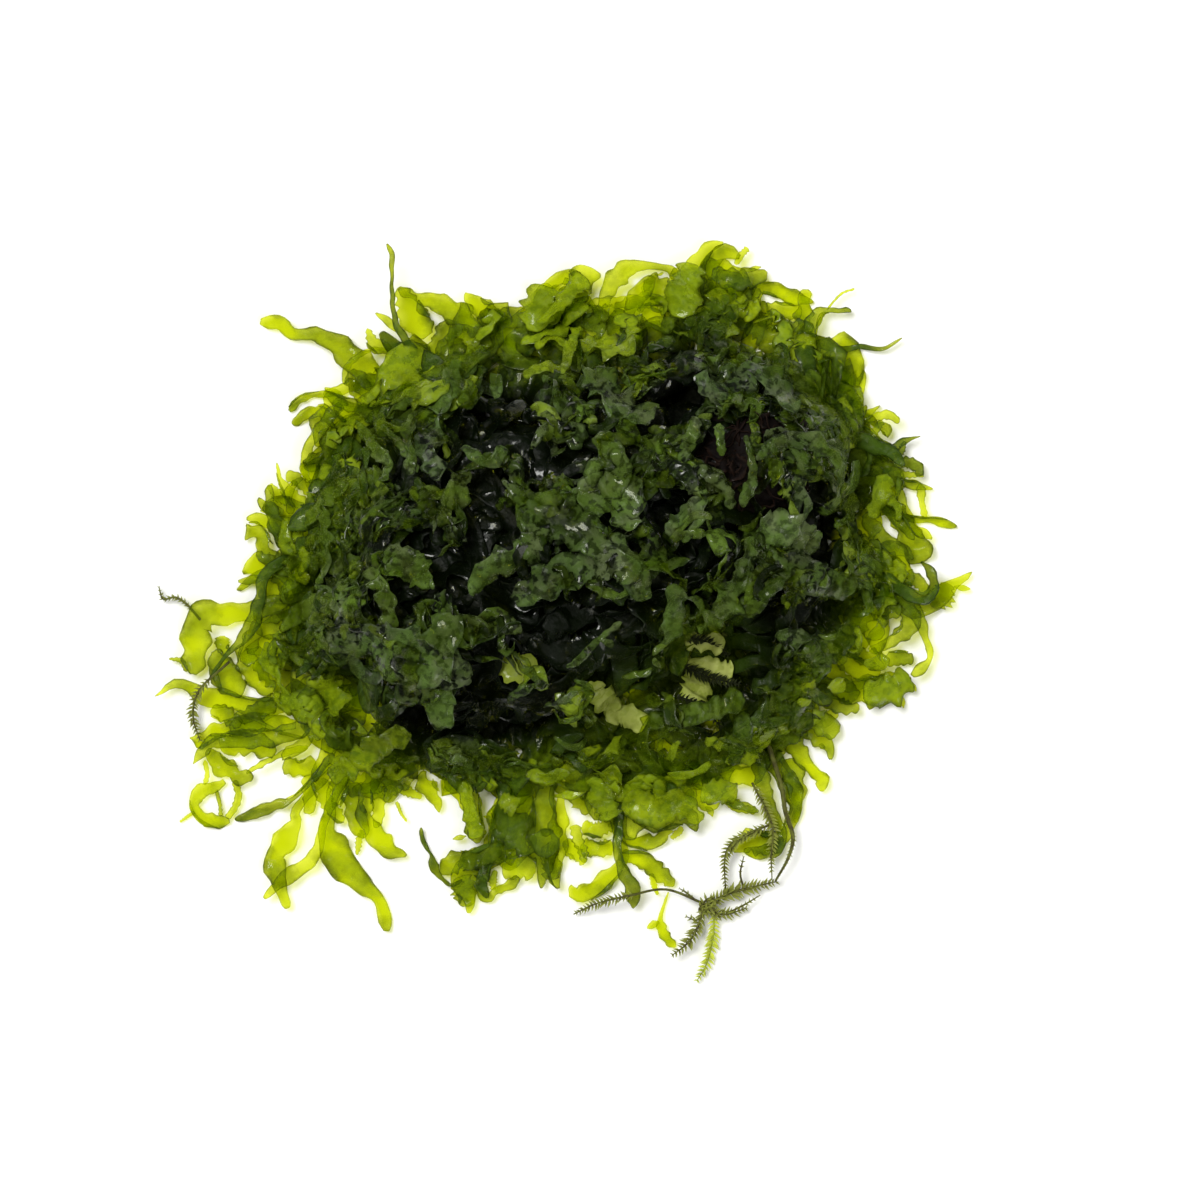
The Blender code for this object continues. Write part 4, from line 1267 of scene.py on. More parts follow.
# Small loose ribbons without a solid of their own: the form, the height above the floor in
# millimetres, and x, y and width at spots from root to tip.
SMALL_RIBBONS: Sequence[tuple[CutKind, float, Spots]] = (
    (RIBBON, 1.2, ((-367, -13, 18), (-376, -37, 24), (-379, -58, 28), (-366, -82, 30), (-346, -94, 22))),
    (LOBED, 0.6, ((-419, -46, 16), (-408, -70, 38), (-396, -90, 34), (-386, -102, 18))),
    (RIBBON, 0.9, ((-409, -29, 14), (-409, -42, 19), (-402, -52, 8))),
    (RIBBON, 1, ((-451, -72, 6), (-459, -59, 7), (-473, -57, 3))),
    (LOBED, 1.4, ((-340, -104, 20), (-358, -115, 24), (-380, -124, 20), (-396, -126, 10))),
    (LOBED, 1, ((-386, -136, 18), (-406, -124, 22), (-422, -116, 16))),
    (LOBED, 0.8, ((-346, -172, 24), (-364, -162, 28), (-388, -156, 30), (-412, -162, 26))),
    (HORNED, 1.2, ((-372, -201, 12), (-397, -193, 24), (-418, -178, 24), (-426, -164, 14))),
    (LOBED, 1.8, ((-356, -138, 16), (-380, -134, 20), (-400, -142, 18))),
    (RIBBON, 2.4, ((-312, -152, 5), (-340, -144, 5), (-364, -132, 4), (-380, -124, 4))),
    (RIBBON, 2.2, ((-306, -162, 10), (-334, -170, 9), (-360, -182, 8), (-380, -194, 6))),
    (LOBED, 1.2, ((-336, -182, 22), (-316, -188, 24), (-296, -184, 24))),
    (LEAFLET, 1.6, ((-361, 41, 16), (-376, 38, 12), (-390, 36, 7))),
    (RIBBON, 1.6, ((-430, -178, 5), (-427, -193, 7), (-430, -208, 5))),
    (RIBBON, 0.8, ((-394, -202, 8), (-390, -220, 10), (-394, -235, 9), (-404, -248, 9))),
    (RIBBON, 0.8, ((-416, -214, 5), (-412, -232, 5), (-411, -246, 5))),
    (RIBBON, 0.5, ((-443, -240, 5), (-452, -247, 4), (-460, -253, 3))),
    (LOBED, 1, ((-307, -196, 14), (-304, -224, 19), (-307, -243, 12))),
    (RIBBON, 1.2, ((-292, -200, 18), (-284, -226, 19), (-270, -246, 16), (-262, -248, 9))),
    (LOBED, 0.8, ((-254, -205, 24), (-252, -229, 28), (-244, -256, 26), (-239, -272, 12))),
    (RIBBON, 1.4, ((-226, -200, 14), (-223, -226, 17), (-222, -247, 16), (-227, -259, 8))),
    (RIBBON, 0.7, ((-242, -262, 9), (-246, -280, 8), (-248, -292, 4))),
    (LOBED, 1.2, ((-208, -186, 22), (-205, -211, 25), (-212, -229, 14))),
    (RIBBON, 0.9, ((-206, -208, 12), (-190, -214, 14), (-170, -223, 8))),
    (HORNED, 1, ((-174, -194, 22), (-162, -212, 22), (-152, -228, 12), (-149, -241, 4))),
    (RIBBON, 1, ((-200, -228, 6), (-195, -241, 4), (-188, -252, 3))),
    (LOBED, 1, ((-186, -175, 20), (-188, -196, 22), (-194, -214, 14))),
    (LOBED, 1.4, ((-270, -186, 24), (-268, -212, 24), (-276, -236, 14))),
    (LOBED, 1.3, ((-136, -176, 16), (-136, -198, 18), (-142, -216, 10))),
    (LEAFLET, 1.2, ((-116, -269, 4), (-124, -271, 8), (-133, -273, 3))),
    (LOBED, 1, ((-46, -190, 30), (-52, -220, 36), (-64, -250, 50), (-67, -280, 54), (-61, -310, 30))),
    (LOBED, 1.6, ((-2, -220, 16), (-4, -244, 19), (-5, -271, 27), (-13, -298, 27), (-10, -322, 16),
      (-5, -332, 5))),
    (RIBBON, 0.9, ((-68, -290, 26), (-97, -298, 22), (-118, -298, 27), (-136, -304, 28), (-148, -314, 13))),
    (HORNED, 1.3, ((-94, -294, 18), (-109, -294, 22), (-122, -290, 12))),
    (RIBBON, 0.8, ((-100, -316, 15), (-97, -335, 16), (-89, -344, 12), (-80, -334, 11), (-64, -328, 12),
      (-54, -318, 15))),
    (RIBBON, 0.9, ((-82, -310, 9), (-85, -324, 10), (-84, -334, 6))),
    (RIBBON, 0.9, ((2, -274, 15), (11, -286, 18), (26, -302, 12))),
    (LOBED, 1.6, ((30, -192, 22), (44, -216, 30), (53, -236, 28), (48, -252, 14))),
    (LOBED, 1.2, ((-48, -190, 16), (-29, -195, 24), (-6, -189, 20))),
    (LOBED, 1.2, ((-14, -206, 14), (6, -214, 20), (22, -226, 26), (28, -244, 18))),
    (RIBBON, 0.9, ((20, -282, 12), (26, -283, 21), (44, -285, 21), (60, -280, 16))),
    (RIBBON, 1.6, ((12, -256, 14), (20, -280, 15), (26, -301, 8))),
    (RIBBON, 1.2, ((22, -258, 18), (40, -262, 20), (58, -256, 15))),
    (LOBED, 0.8, ((88, -204, 36), (86, -228, 42), (82, -254, 42), (76, -274, 20))),
    (RIBBON, 1.4, ((48, -232, 5), (53, -226, 5), (60, -234, 5), (62, -250, 5), (54, -258, 5))),
    (RIBBON, 0.7, ((66, -296, 14), (86, -295, 21), (101, -301, 22), (113, -313, 22), (126, -322, 18),
      (132, -330, 6))),
    (RIBBON, 0.6, ((106, -314, 8), (108, -326, 8), (113, -340, 4))),
    (LOBED, 1.2, ((114, -196, 20), (126, -216, 24), (124, -234, 16))),
    (RIBBON, 1, ((142, -258, 8), (137, -266, 10), (128, -271, 5))),
    (LOBED, 1.2, ((168, -184, 20), (180, -204, 26), (190, -218, 20))),
    (RIBBON, 1, ((190, -222, 12), (212, -235, 14), (232, -239, 9))),
    (RIBBON, 1.5, ((232, -176, 22), (239, -202, 21), (245, -226, 18), (251, -244, 15), (260, -262, 18),
      (257, -283, 18), (248, -296, 9))),
    (LOBED, 1, ((270, -176, 26), (278, -202, 28), (280, -228, 16), (278, -254, 5))),
    (LEAFLET, 1, ((170, -234, 5), (176, -240, 9), (179, -246, 4))),
    (LOBED, 1.2, ((286, -114, 20), (296, -124, 22), (314, -130, 20), (328, -120, 12))),
    (LOBED, 1, ((284, -134, 24), (302, -148, 22), (317, -160, 18), (321, -178, 8))),
    (RIBBON, 1.6, ((306, -88, 18), (320, -106, 21), (336, -115, 19), (355, -115, 12))),
    (LEAFLET, 0.8, ((402, -96, 6), (406, -108, 8), (408, -116, 3))),
    (LEAFLET, 0.8, ((414, -82, 5), (420, -90, 6), (423, -96, 3))),
    (RIBBON, 2.2, ((395, 24, 26), (410, 5, 28), (416, -13, 26), (404, -28, 19), (386, -40, 15),
      (366, -47, 11))),
    (LOBED, 0.6, ((346, -50, 16), (358, -53, 20), (372, -58, 25), (388, -62, 14))),
    (LOBED, 1, ((384, -60, 16), (402, -55, 20), (420, -60, 13))),
    (LOBED, 1.6, ((330, -15, 24), (344, -36, 26), (346, -56, 18))),
    (RIBBON, 1.2, ((444, 4, 16), (454, 18, 30), (460, 34, 18))),
    (LEAFLET, 1, ((468, 30, 6), (478, 28, 8), (488, 27, 4))),
    (LOBED, 2, ((406, 44, 22), (424, 36, 18), (434, 22, 14))),
    (LOBED, 1.6, ((360, 118, 18), (372, 100, 22), (386, 83, 24), (404, 74, 18), (420, 63, 7))),
    (RIBBON, 1.4, ((428, 154, 9), (429, 142, 11), (430, 128, 8), (434, 111, 8))),
    (RIBBON, 1.4, ((396, 176, 10), (414, 178, 16), (426, 171, 14), (423, 162, 6))),
    (RIBBON, 1.8, ((396, 166, 12), (416, 164, 8), (432, 162, 3))),
    (LOBED, 1.8, ((389, 174, 24), (393, 154, 30), (386, 132, 26), (376, 116, 14))),
    (RIBBON, 1.6, ((399, 184, 8), (406, 194, 9), (409, 204, 5))),
    (RIBBON, 2.4, ((348, 208, 12), (356, 220, 12), (370, 231, 9), (389, 236, 13), (402, 226, 8))),
    (RIBBON, 2.2, ((368, 204, 9), (375, 218, 10), (383, 228, 8))),
    (LOBED, 2.6, ((294, 274, 16), (308, 268, 24), (323, 263, 32), (332, 248, 33), (341, 230, 22),
      (352, 210, 14))),
    (RIBBON, 2, ((296, 286, 16), (310, 293, 19), (326, 294, 19), (336, 282, 14), (332, 272, 7))),
    (RIBBON, 2.2, ((328, 260, 7), (336, 272, 6), (351, 289, 3))),
    (RIBBON, 1.4, ((316, 362, 3), (332, 380, 3), (349, 387, 3))),
    (LOBED, 1.4, ((262, 334, 22), (282, 340, 24), (298, 334, 18))),
    (LOBED, 1.2, ((242, 364, 18), (264, 362, 22), (286, 356, 16))),
    (RIBBON, 1.6, ((206, 416, 8), (214, 428, 9), (221, 436, 7))),
    (LEAFLET, 1.6, ((218, 406, 6), (228, 411, 7), (237, 413, 3))),
    (LOBED, 1.2, ((190, 380, 24), (208, 384, 26), (226, 388, 18))),
    (HORNED, 1.4, ((140, 345, 26), (158, 380, 22), (170, 400, 14))),
    (RIBBON, 1.8, ((99, 376, 6), (99, 390, 12), (108, 400, 6), (120, 406, 3))),
    (LOBED, 1.2, ((64, 355, 20), (84, 370, 24), (106, 374, 20), (124, 370, 12))),
    (LOBED, 1.6, ((128, 386, 14), (134, 404, 14), (137, 412, 8))),
    (RIBBON, 1.6, ((-162, 330, 32), (-180, 354, 36), (-188, 371, 30), (-197, 389, 11))),
    (LOBED, 1.4, ((-78, 336, 32), (-88, 356, 32), (-106, 368, 23), (-118, 382, 7))),
    (RIBBON, 2.8, ((-208, 312, 6), (-229, 314, 6), (-247, 305, 7), (-260, 290, 9), (-262, 272, 9))),
    (RIBBON, 2.4, ((-206, 314, 14), (-226, 320, 19), (-235, 339, 4))),
    (LEAFLET, 3, ((-198, 334, 9), (-212, 348, 11), (-225, 358, 5))),
    (LOBED, 1.2, ((-14, 325, 30), (-26, 356, 32), (-22, 382, 24), (-16, 392, 12))),
    (RIBBON, 1.6, ((-296, 138, 16), (-312, 151, 15), (-322, 161, 18), (-333, 161, 14))),
    (RIBBON, 1.4, ((-330, 130, 16), (-342, 139, 13), (-353, 152, 10))),
    (LEAFLET, 1.6, ((-335, 118, 14), (-356, 126, 18), (-366, 136, 10))),
    (LEAFLET, 1.4, ((-336, 96, 14), (-362, 110, 18), (-380, 112, 12))),
    (RIBBON, 2.4, ((29, 367, 12), (56, 371, 15), (84, 370, 16), (120, 373, 13))),
    (LOBED, 2, ((94, 364, 20), (110, 352, 28), (118, 338, 18))),
    (LOBED, 1.4, ((32, 324, 24), (59, 310, 34), (88, 308, 28))),
    (LOBED, 1, ((202, -286, 16), (224, -276, 28), (248, -278, 32), (264, -280, 26))),
    (LEAFLET, 0.5, ((115, -372, 9), (108, -376, 10), (100, -380, 4))),
    (LOBED, 2.6, ((-88, -236, 30), (-60, -262, 48), (-36, -290, 34))),
    (LEAFLET, 3.2, ((-42, -270, 26), (-22, -276, 40), (-4, -278, 26))),
    (LOBED, 2, ((-74, -306, 26), (-52, -306, 34), (-34, -314, 24))),
    (RIBBON, 2.4, ((-126, -306, 16), (-102, -294, 26), (-74, -288, 28), (-50, -286, 20))),
    (LOBED, 1.6, ((-20, -288, 20), (-14, -304, 24), (-18, -322, 18))),
    (LOBED, 1.2, ((-126, -318, 26), (-118, -336, 30), (-116, -354, 20))),
    (LOBED, 1.6, ((66, 328, 16), (82, 338, 22), (98, 352, 16))),
    (RIBBON, 1.4, ((22, 342, 16), (42, 356, 20), (62, 362, 15))),
    (LOBED, 1.8, ((120, 316, 18), (132, 330, 20), (128, 352, 16))),
    (LEAFLET, 2.6, ((154, 338, 14), (176, 356, 19), (198, 374, 12))),
    (LOBED, 1.4, ((194, 336, 24), (212, 354, 34), (226, 372, 22))),
    (LOBED, 1.6, ((232, 348, 20), (254, 348, 22), (272, 336, 16))),
    (RIBBON, 1.8, ((-6, 306, 20), (6, 332, 22), (14, 358, 18))),
    (LOBED, 1.4, ((336, -4, 26), (360, -12, 32), (382, -32, 20))),
    (LOBED, 1.8, ((360, 68, 24), (384, 52, 32), (406, 32, 24))),
    (RIBBON, 1.4, ((326, -44, 24), (352, -68, 30), (380, -74, 22))),
    (LOBED, 2.2, ((372, 32, 20), (386, 6, 26), (404, -4, 18))),
)

# The broad wet thalli that are seen one by one on the clump: the form, how many millimetres each
# stands above the surface, its age, and x, y and width at spots from root to tip.
TOP_BLADES: Sequence[tuple[CutKind, float, float, Spots]] = (
    (BROAD, 1.2, 0.05, ((-275, -30, 30), (-215, -34, 46), (-160, -54, 66), (-104, -80, 36))),
    (BROAD, 1.5, 0.1, ((-140, -130, 26), (-148, -86, 42), (-144, -40, 44), (-116, 2, 34))),
    (RIBBON, 1.4, 0, ((-326, 12, 14), (-314, 40, 32), (-318, 70, 20))),
    (RIBBON, 1.6, 0, ((-280, 130, 16), (-276, 90, 22), (-274, 56, 18), (-284, 32, 10))),
    (BROAD, 1.5, 0, ((-106, 18, 20), (-80, 52, 32), (-48, 63, 40), (-28, 84, 42), (-32, 120, 36))),
    (BROAD, 1.3, 0, ((-56, 12, 22), (-16, 34, 36), (23, 50, 44), (54, 58, 42), (90, 44, 36))),
    (BROAD, 1.1, 0.25, ((-36, 134, 34), (0, 114, 46), (36, 84, 42), (76, 54, 44), (98, 18, 32))),
    (BROAD, 1.2, 0.05, ((14, 142, 30), (46, 136, 54), (72, 132, 48), (70, 94, 28))),
    (RIBBON, 1.5, 0, ((-226, 44, 18), (-204, 24, 24), (-204, -8, 22), (-222, -34, 12))),
    (BROAD, 1, 0.1, ((-204, 70, 34), (-178, 54, 38), (-144, 28, 14))),
    (BROAD, 1.2, 0.05, ((158, -14, 20), (190, 12, 36), (208, 46, 34), (216, 86, 20))),
    (BROAD, 1, 0.1, ((240, 64, 30), (280, 46, 40), (314, 32, 32), (344, 34, 24))),
    (BROAD, 1.2, 0.1, ((224, 104, 30), (260, 98, 44), (300, 78, 32))),
    (BROAD, 1.4, 0.05, ((148, 264, 34), (188, 258, 40), (224, 274, 42), (252, 254, 38), (268, 226, 26))),
    (BROAD, 1.1, 0.05, ((32, 282, 30), (60, 248, 50), (102, 216, 38))),
    (LOBED, 1.1, 0.15, ((46, 204, 28), (66, 168, 34), (50, 126, 26))),
    (RIBBON, 1.8, 0, ((226, 178, 10), (256, 196, 22), (292, 193, 24), (312, 168, 16), (308, 132, 9))),
    (RIBBON, 1.6, 0, ((148, 164, 16), (172, 158, 19), (192, 146, 14), (194, 116, 13))),
    (RIBBON, 1.7, 0, ((216, 202, 8), (224, 166, 11), (216, 142, 16), (210, 126, 9))),
    (RIBBON, 1.6, 0, ((184, 216, 10), (188, 200, 12), (191, 182, 8))),
    (LOBED, 1.3, 0.1, ((158, 222, 14), (148, 198, 18), (136, 172, 12))),
    (BROAD, 1, 0.2, ((146, 334, 14), (176, 352, 22), (196, 376, 12))),
    (LOBED, 0.9, 0.55, ((176, 400, 20), (210, 396, 28), (244, 402, 16))),
    (LOBED, 1.2, 0.1, ((-124, 290, 24), (-134, 260, 32), (-150, 228, 26))),
    (RIBBON, 1.3, 0, ((-238, 220, 12), (-220, 194, 17), (-202, 172, 18), (-208, 152, 14))),
    (RIBBON, 1.2, 0.2, ((-206, 216, 8), (-186, 194, 10), (-164, 166, 9))),
    (RIBBON, 1.2, 0.05, ((-176, 228, 14), (-173, 196, 18), (-172, 160, 12))),
    (LOBED, 1.2, 0.05, ((-150, 224, 22), (-154, 184, 32), (-138, 154, 18))),
    (LOBED, 1.5, 0, ((-114, 188, 12), (-88, 174, 18), (-64, 192, 16))),
    (LEAFLET, 1.4, 0, ((-76, 242, 14), (-82, 272, 20))),
    (LEAFLET, 1.4, 0, ((-134, 312, 14), (-122, 338, 18))),
    (RIBBON, 1.9, 0, ((2, -58, 9), (22, -48, 10), (42, -30, 8), (66, -6, 7))),
    (LEAFLET, 2, 0, ((44, -28, 6), (58, -36, 12))),
    (LOBED, 1.2, 0.05, ((120, 94, 16), (138, 116, 22), (156, 134, 14))),
    (FINGERED, 1.6, 0, ((124, 86, 14), (152, 98, 18), (174, 94, 14))),
    (FINGERED, 1.6, 0, ((162, 134, 12), (146, 112, 17), (132, 90, 13))),
    (LOBED, 1, 0, ((-128, -160, 24), (-112, -182, 32), (-96, -202, 20))),
    (RIBBON, 1.3, 0.3, ((100, -130, 20), (156, -122, 28), (216, -100, 24))),
    (LOBED, 1.2, 0.1, ((108, -32, 22), (126, -4, 30), (126, 32, 22))),
    (BROAD, 1.2, 0.15, ((-300, 96, 16), (-272, 128, 24), (-248, 146, 14))),
    (LOBED, 1.2, 0.15, ((-330, -24, 14), (-294, 6, 24), (-256, 14, 18))),
    (LOBED, 1, 0.1, ((250, -16, 18), (284, -36, 26), (302, -68, 22))),
)

# The bright young thalli that lie on the clump's outer part, in the same way.
FRESH_BLADES: Sequence[tuple[CutKind, float, float, Spots]] = (
    (BROAD, 1.2, 0.15, ((-144, 246, 40), (-178, 278, 70), (-210, 304, 50))),
    (RIBBON, 2.6, 0, ((-28, 326, 12), (-6, 352, 17), (14, 378, 24), (26, 398, 32))),
    (LOBED, 0.8, 0.1, ((-38, 330, 30), (-28, 360, 44), (-19, 388, 36))),
    (RIBBON, 1.8, 0.05, ((138, 340, 32), (143, 364, 42), (147, 390, 40), (154, 412, 30))),
    (LOBED, 0.9, 0.15, ((26, 316, 30), (54, 310, 42), (84, 298, 30))),
    (LEAFLET, 0.9, 0.1, ((60, 346, 20), (90, 338, 24))),
    (RIBBON, 1, 0.1, ((0, 276, 10), (9, 304, 15), (20, 332, 13))),
    (LEAFLET, 1.2, 0, ((354, -56, 18), (372, -60, 24), (388, -58, 14))),
    (LOBED, 0.9, 0.1, ((356, -92, 34), (386, -92, 44), (414, -80, 32))),
    (RIBBON, 1, 0.1, ((308, 276, 30), (332, 252, 38), (344, 218, 28))),
    (LOBED, 1, 0.1, ((364, 110, 20), (374, 140, 28), (386, 162, 20))),
    (LOBED, 0.9, 0.1, ((290, -120, 24), (310, -132, 32), (326, -146, 20))),
    (LEAFLET, 1, 0.1, ((312, -80, 20), (332, -86, 26))),
    (LEAFLET, 1.3, 0, ((270, -98, 12), (288, -104, 16))),
    (LEAFLET, 1, 0.1, ((-44, -188, 30), (-16, -190, 36), (8, -186, 20))),
    (RIBBON, 1, 0.05, ((32, -194, 22), (46, -220, 30), (58, -246, 24))),
    (RIBBON, 2.2, 0.3, ((-278, -188, 26), (-246, -166, 32), (-216, -144, 34), (-180, -126, 30))),
    (LOBED, 1, 0.1, ((164, -204, 26), (186, -210, 32), (208, -216, 24))),
    (RIBBON, 1, 0.25, ((70, -226, 34), (104, -234, 44), (136, -228, 34), (162, -248, 18))),
    (RIBBON, 1.4, 0, ((-116, -192, 14), (-110, -220, 18), (-104, -250, 22), (-100, -268, 24))),
    (LOBED, 0.9, 0.1, ((-74, -222, 20), (-54, -232, 26))),
    (LOBED, 1, 0.1, ((-294, -72, 28), (-276, -96, 36), (-260, -120, 26))),
)

# Thalli at the bottom of the thin places, painted pale for the light that comes up through them: the
# form, how many millimetres each lies below the surface, its age, and x, y and width at spots along it.
BACKLIT_THALLI: Sequence[tuple[CutKind, float, float, Spots]] = (
    (RIBBON, 0.9, 0.1, ((148, -66, 18), (172, -69, 24), (202, -73, 20))),
    (LOBED, 1.2, 0.3, ((152, -106, 24), (158, -88, 30), (164, -56, 24))),
    (LOBED, 0.9, 0.2, ((140, -32, 16), (164, -34, 22), (192, -42, 20))),
    (LOBED, 1.4, 0.4, ((30, -86, 16), (44, -102, 26), (64, -118, 22))),
    (LOBED, 1.2, 0.3, ((52, -126, 16), (72, -122, 24), (96, -138, 20))),
    (LOBED, 4.6, 1.2, ((-80, -58, 16), (-54, -68, 30), (-30, -62, 18))),
    (LOBED, 1.2, 0.2, ((-4, -190, 14), (8, -192, 18), (22, -188, 14))),
)

# Each sprig's shoots: x, y and z at spots from root to tip, the shares of it where the leaves start
# and end, and the leaves' length and the stem's radius in millimetres.
MOSS: dict[str, Sequence[Shoot]] = {
    "moss_arm_west": (
        (((168, -350, 12), (123, -333, 22), (80, -340, 29), (40, -350, 19),
          (12, -363, 8)), (0.54, 0.97), 0.95, 0.16),
        (((156, -344, 13), (146, -336, 16), (139, -332, 19)), (0.1, 1), 0.5, 0.12),
    ),
    "moss_shoot_east": (
        (((164, -356, 12), (196, -339, 12), (225, -331, 12), (254, -324, 12)), (0, 1), 1.3, 0.18),
        (((162, -356, 12), (176, -361, 12), (196, -363, 11), (218, -356, 10)), (0, 1), 1.1, 0.16),
        (((164, -354, 14), (174, -344, 17), (186, -348, 19)), (0, 1), 1, 0.14),
        (((166, -360, 15), (178, -356, 19), (188, -366, 17)), (0, 1), 0.9, 0.14),
        (((196, -362, 11), (216, -352, 13), (236, -340, 12)), (0.3, 0.9), 0.5, 0.13),
        (((216, -332, 12), (212, -314, 15), (216, -294, 16)), (0.5, 1), 0.5, 0.14),
    ),
    "moss_stem_east": (
        (((242, -150, 26), (260, -205, 22), (266, -240, 22), (275, -270, 20), (269, -296, 20),
          (254, -323, 16)), (0.4, 0.97), 0.55, 0.3),
        (((226, -205, 24), (242, -236, 22), (251, -262, 20), (249, -292, 18),
          (250, -322, 16)), (0.05, 0.9), 1, 0.15),
    ),
    "moss_tip_bright": (
        (((181, -362, 9), (179, -392, 8), (172, -422, 8), (160, -443, 7)), (0.05, 0.98), 1.15, 0.12),
    ),
    "moss_tip_dark": (
        (((168, -358, 12), (158, -384, 14), (146, -400, 17), (130, -412, 18)), (0.02, 0.97), 1.15, 0.15),
        (((172, -360, 12), (160, -370, 13), (148, -366, 13)), (0.2, 1), 0.7, 0.12),
    ),
    "moss_arch": (
        (((236, -264, 19), (209, -272, 19), (194, -292, 18), (194, -332, 14)), (0, 0.95), 1, 0.15),
        (((246, -256, 21), (226, -264, 22), (206, -278, 21), (198, -294, 19)), (0, 0.95), 0.9, 0.15),
    ),
    "moss_west": (
        (((-400, -60, 26), (-436, -94, 22), (-444, -125, 16), (-436, -154, 12)), (0.3, 1), 1, 0.16),
    ),
    "moss_west_tip": (
        (((-435, -10, 16), (-452, 9, 14), (-466, 17, 12), (-480, 15, 10),
          (-485, 29, 9)), (0.25, 1), 0.6, 0.16),
    ),
    "moss_in_gap": (
        (((126, -18, 0), (146, -30, 0), (170, -36, 0), (196, -52, 0)), (0.1, 1), 1.1, 0.15),
        (((134, -58, 0), (152, -69, 0), (176, -79, 0), (208, -86, 0)), (0.1, 1), 1.2, 0.15),
        (((136, -102, 0), (154, -107, 0), (172, -118, 0), (186, -136, 0)), (0, 1), 1, 0.14),
    ),
}


@dataclass
class Growth:
    """A part of the clump that is bent out of cuts and dressed in one finish."""

    bender: Bender
    material: bpy.types.Material

    def piece(self, name: str, parts: Sequence[Mesh], slot: str, *nodes: str) -> None:
        """Joins meshes into a finished piece."""
        make_piece(name, Mesh.joined(parts), self.material, slot, *nodes)


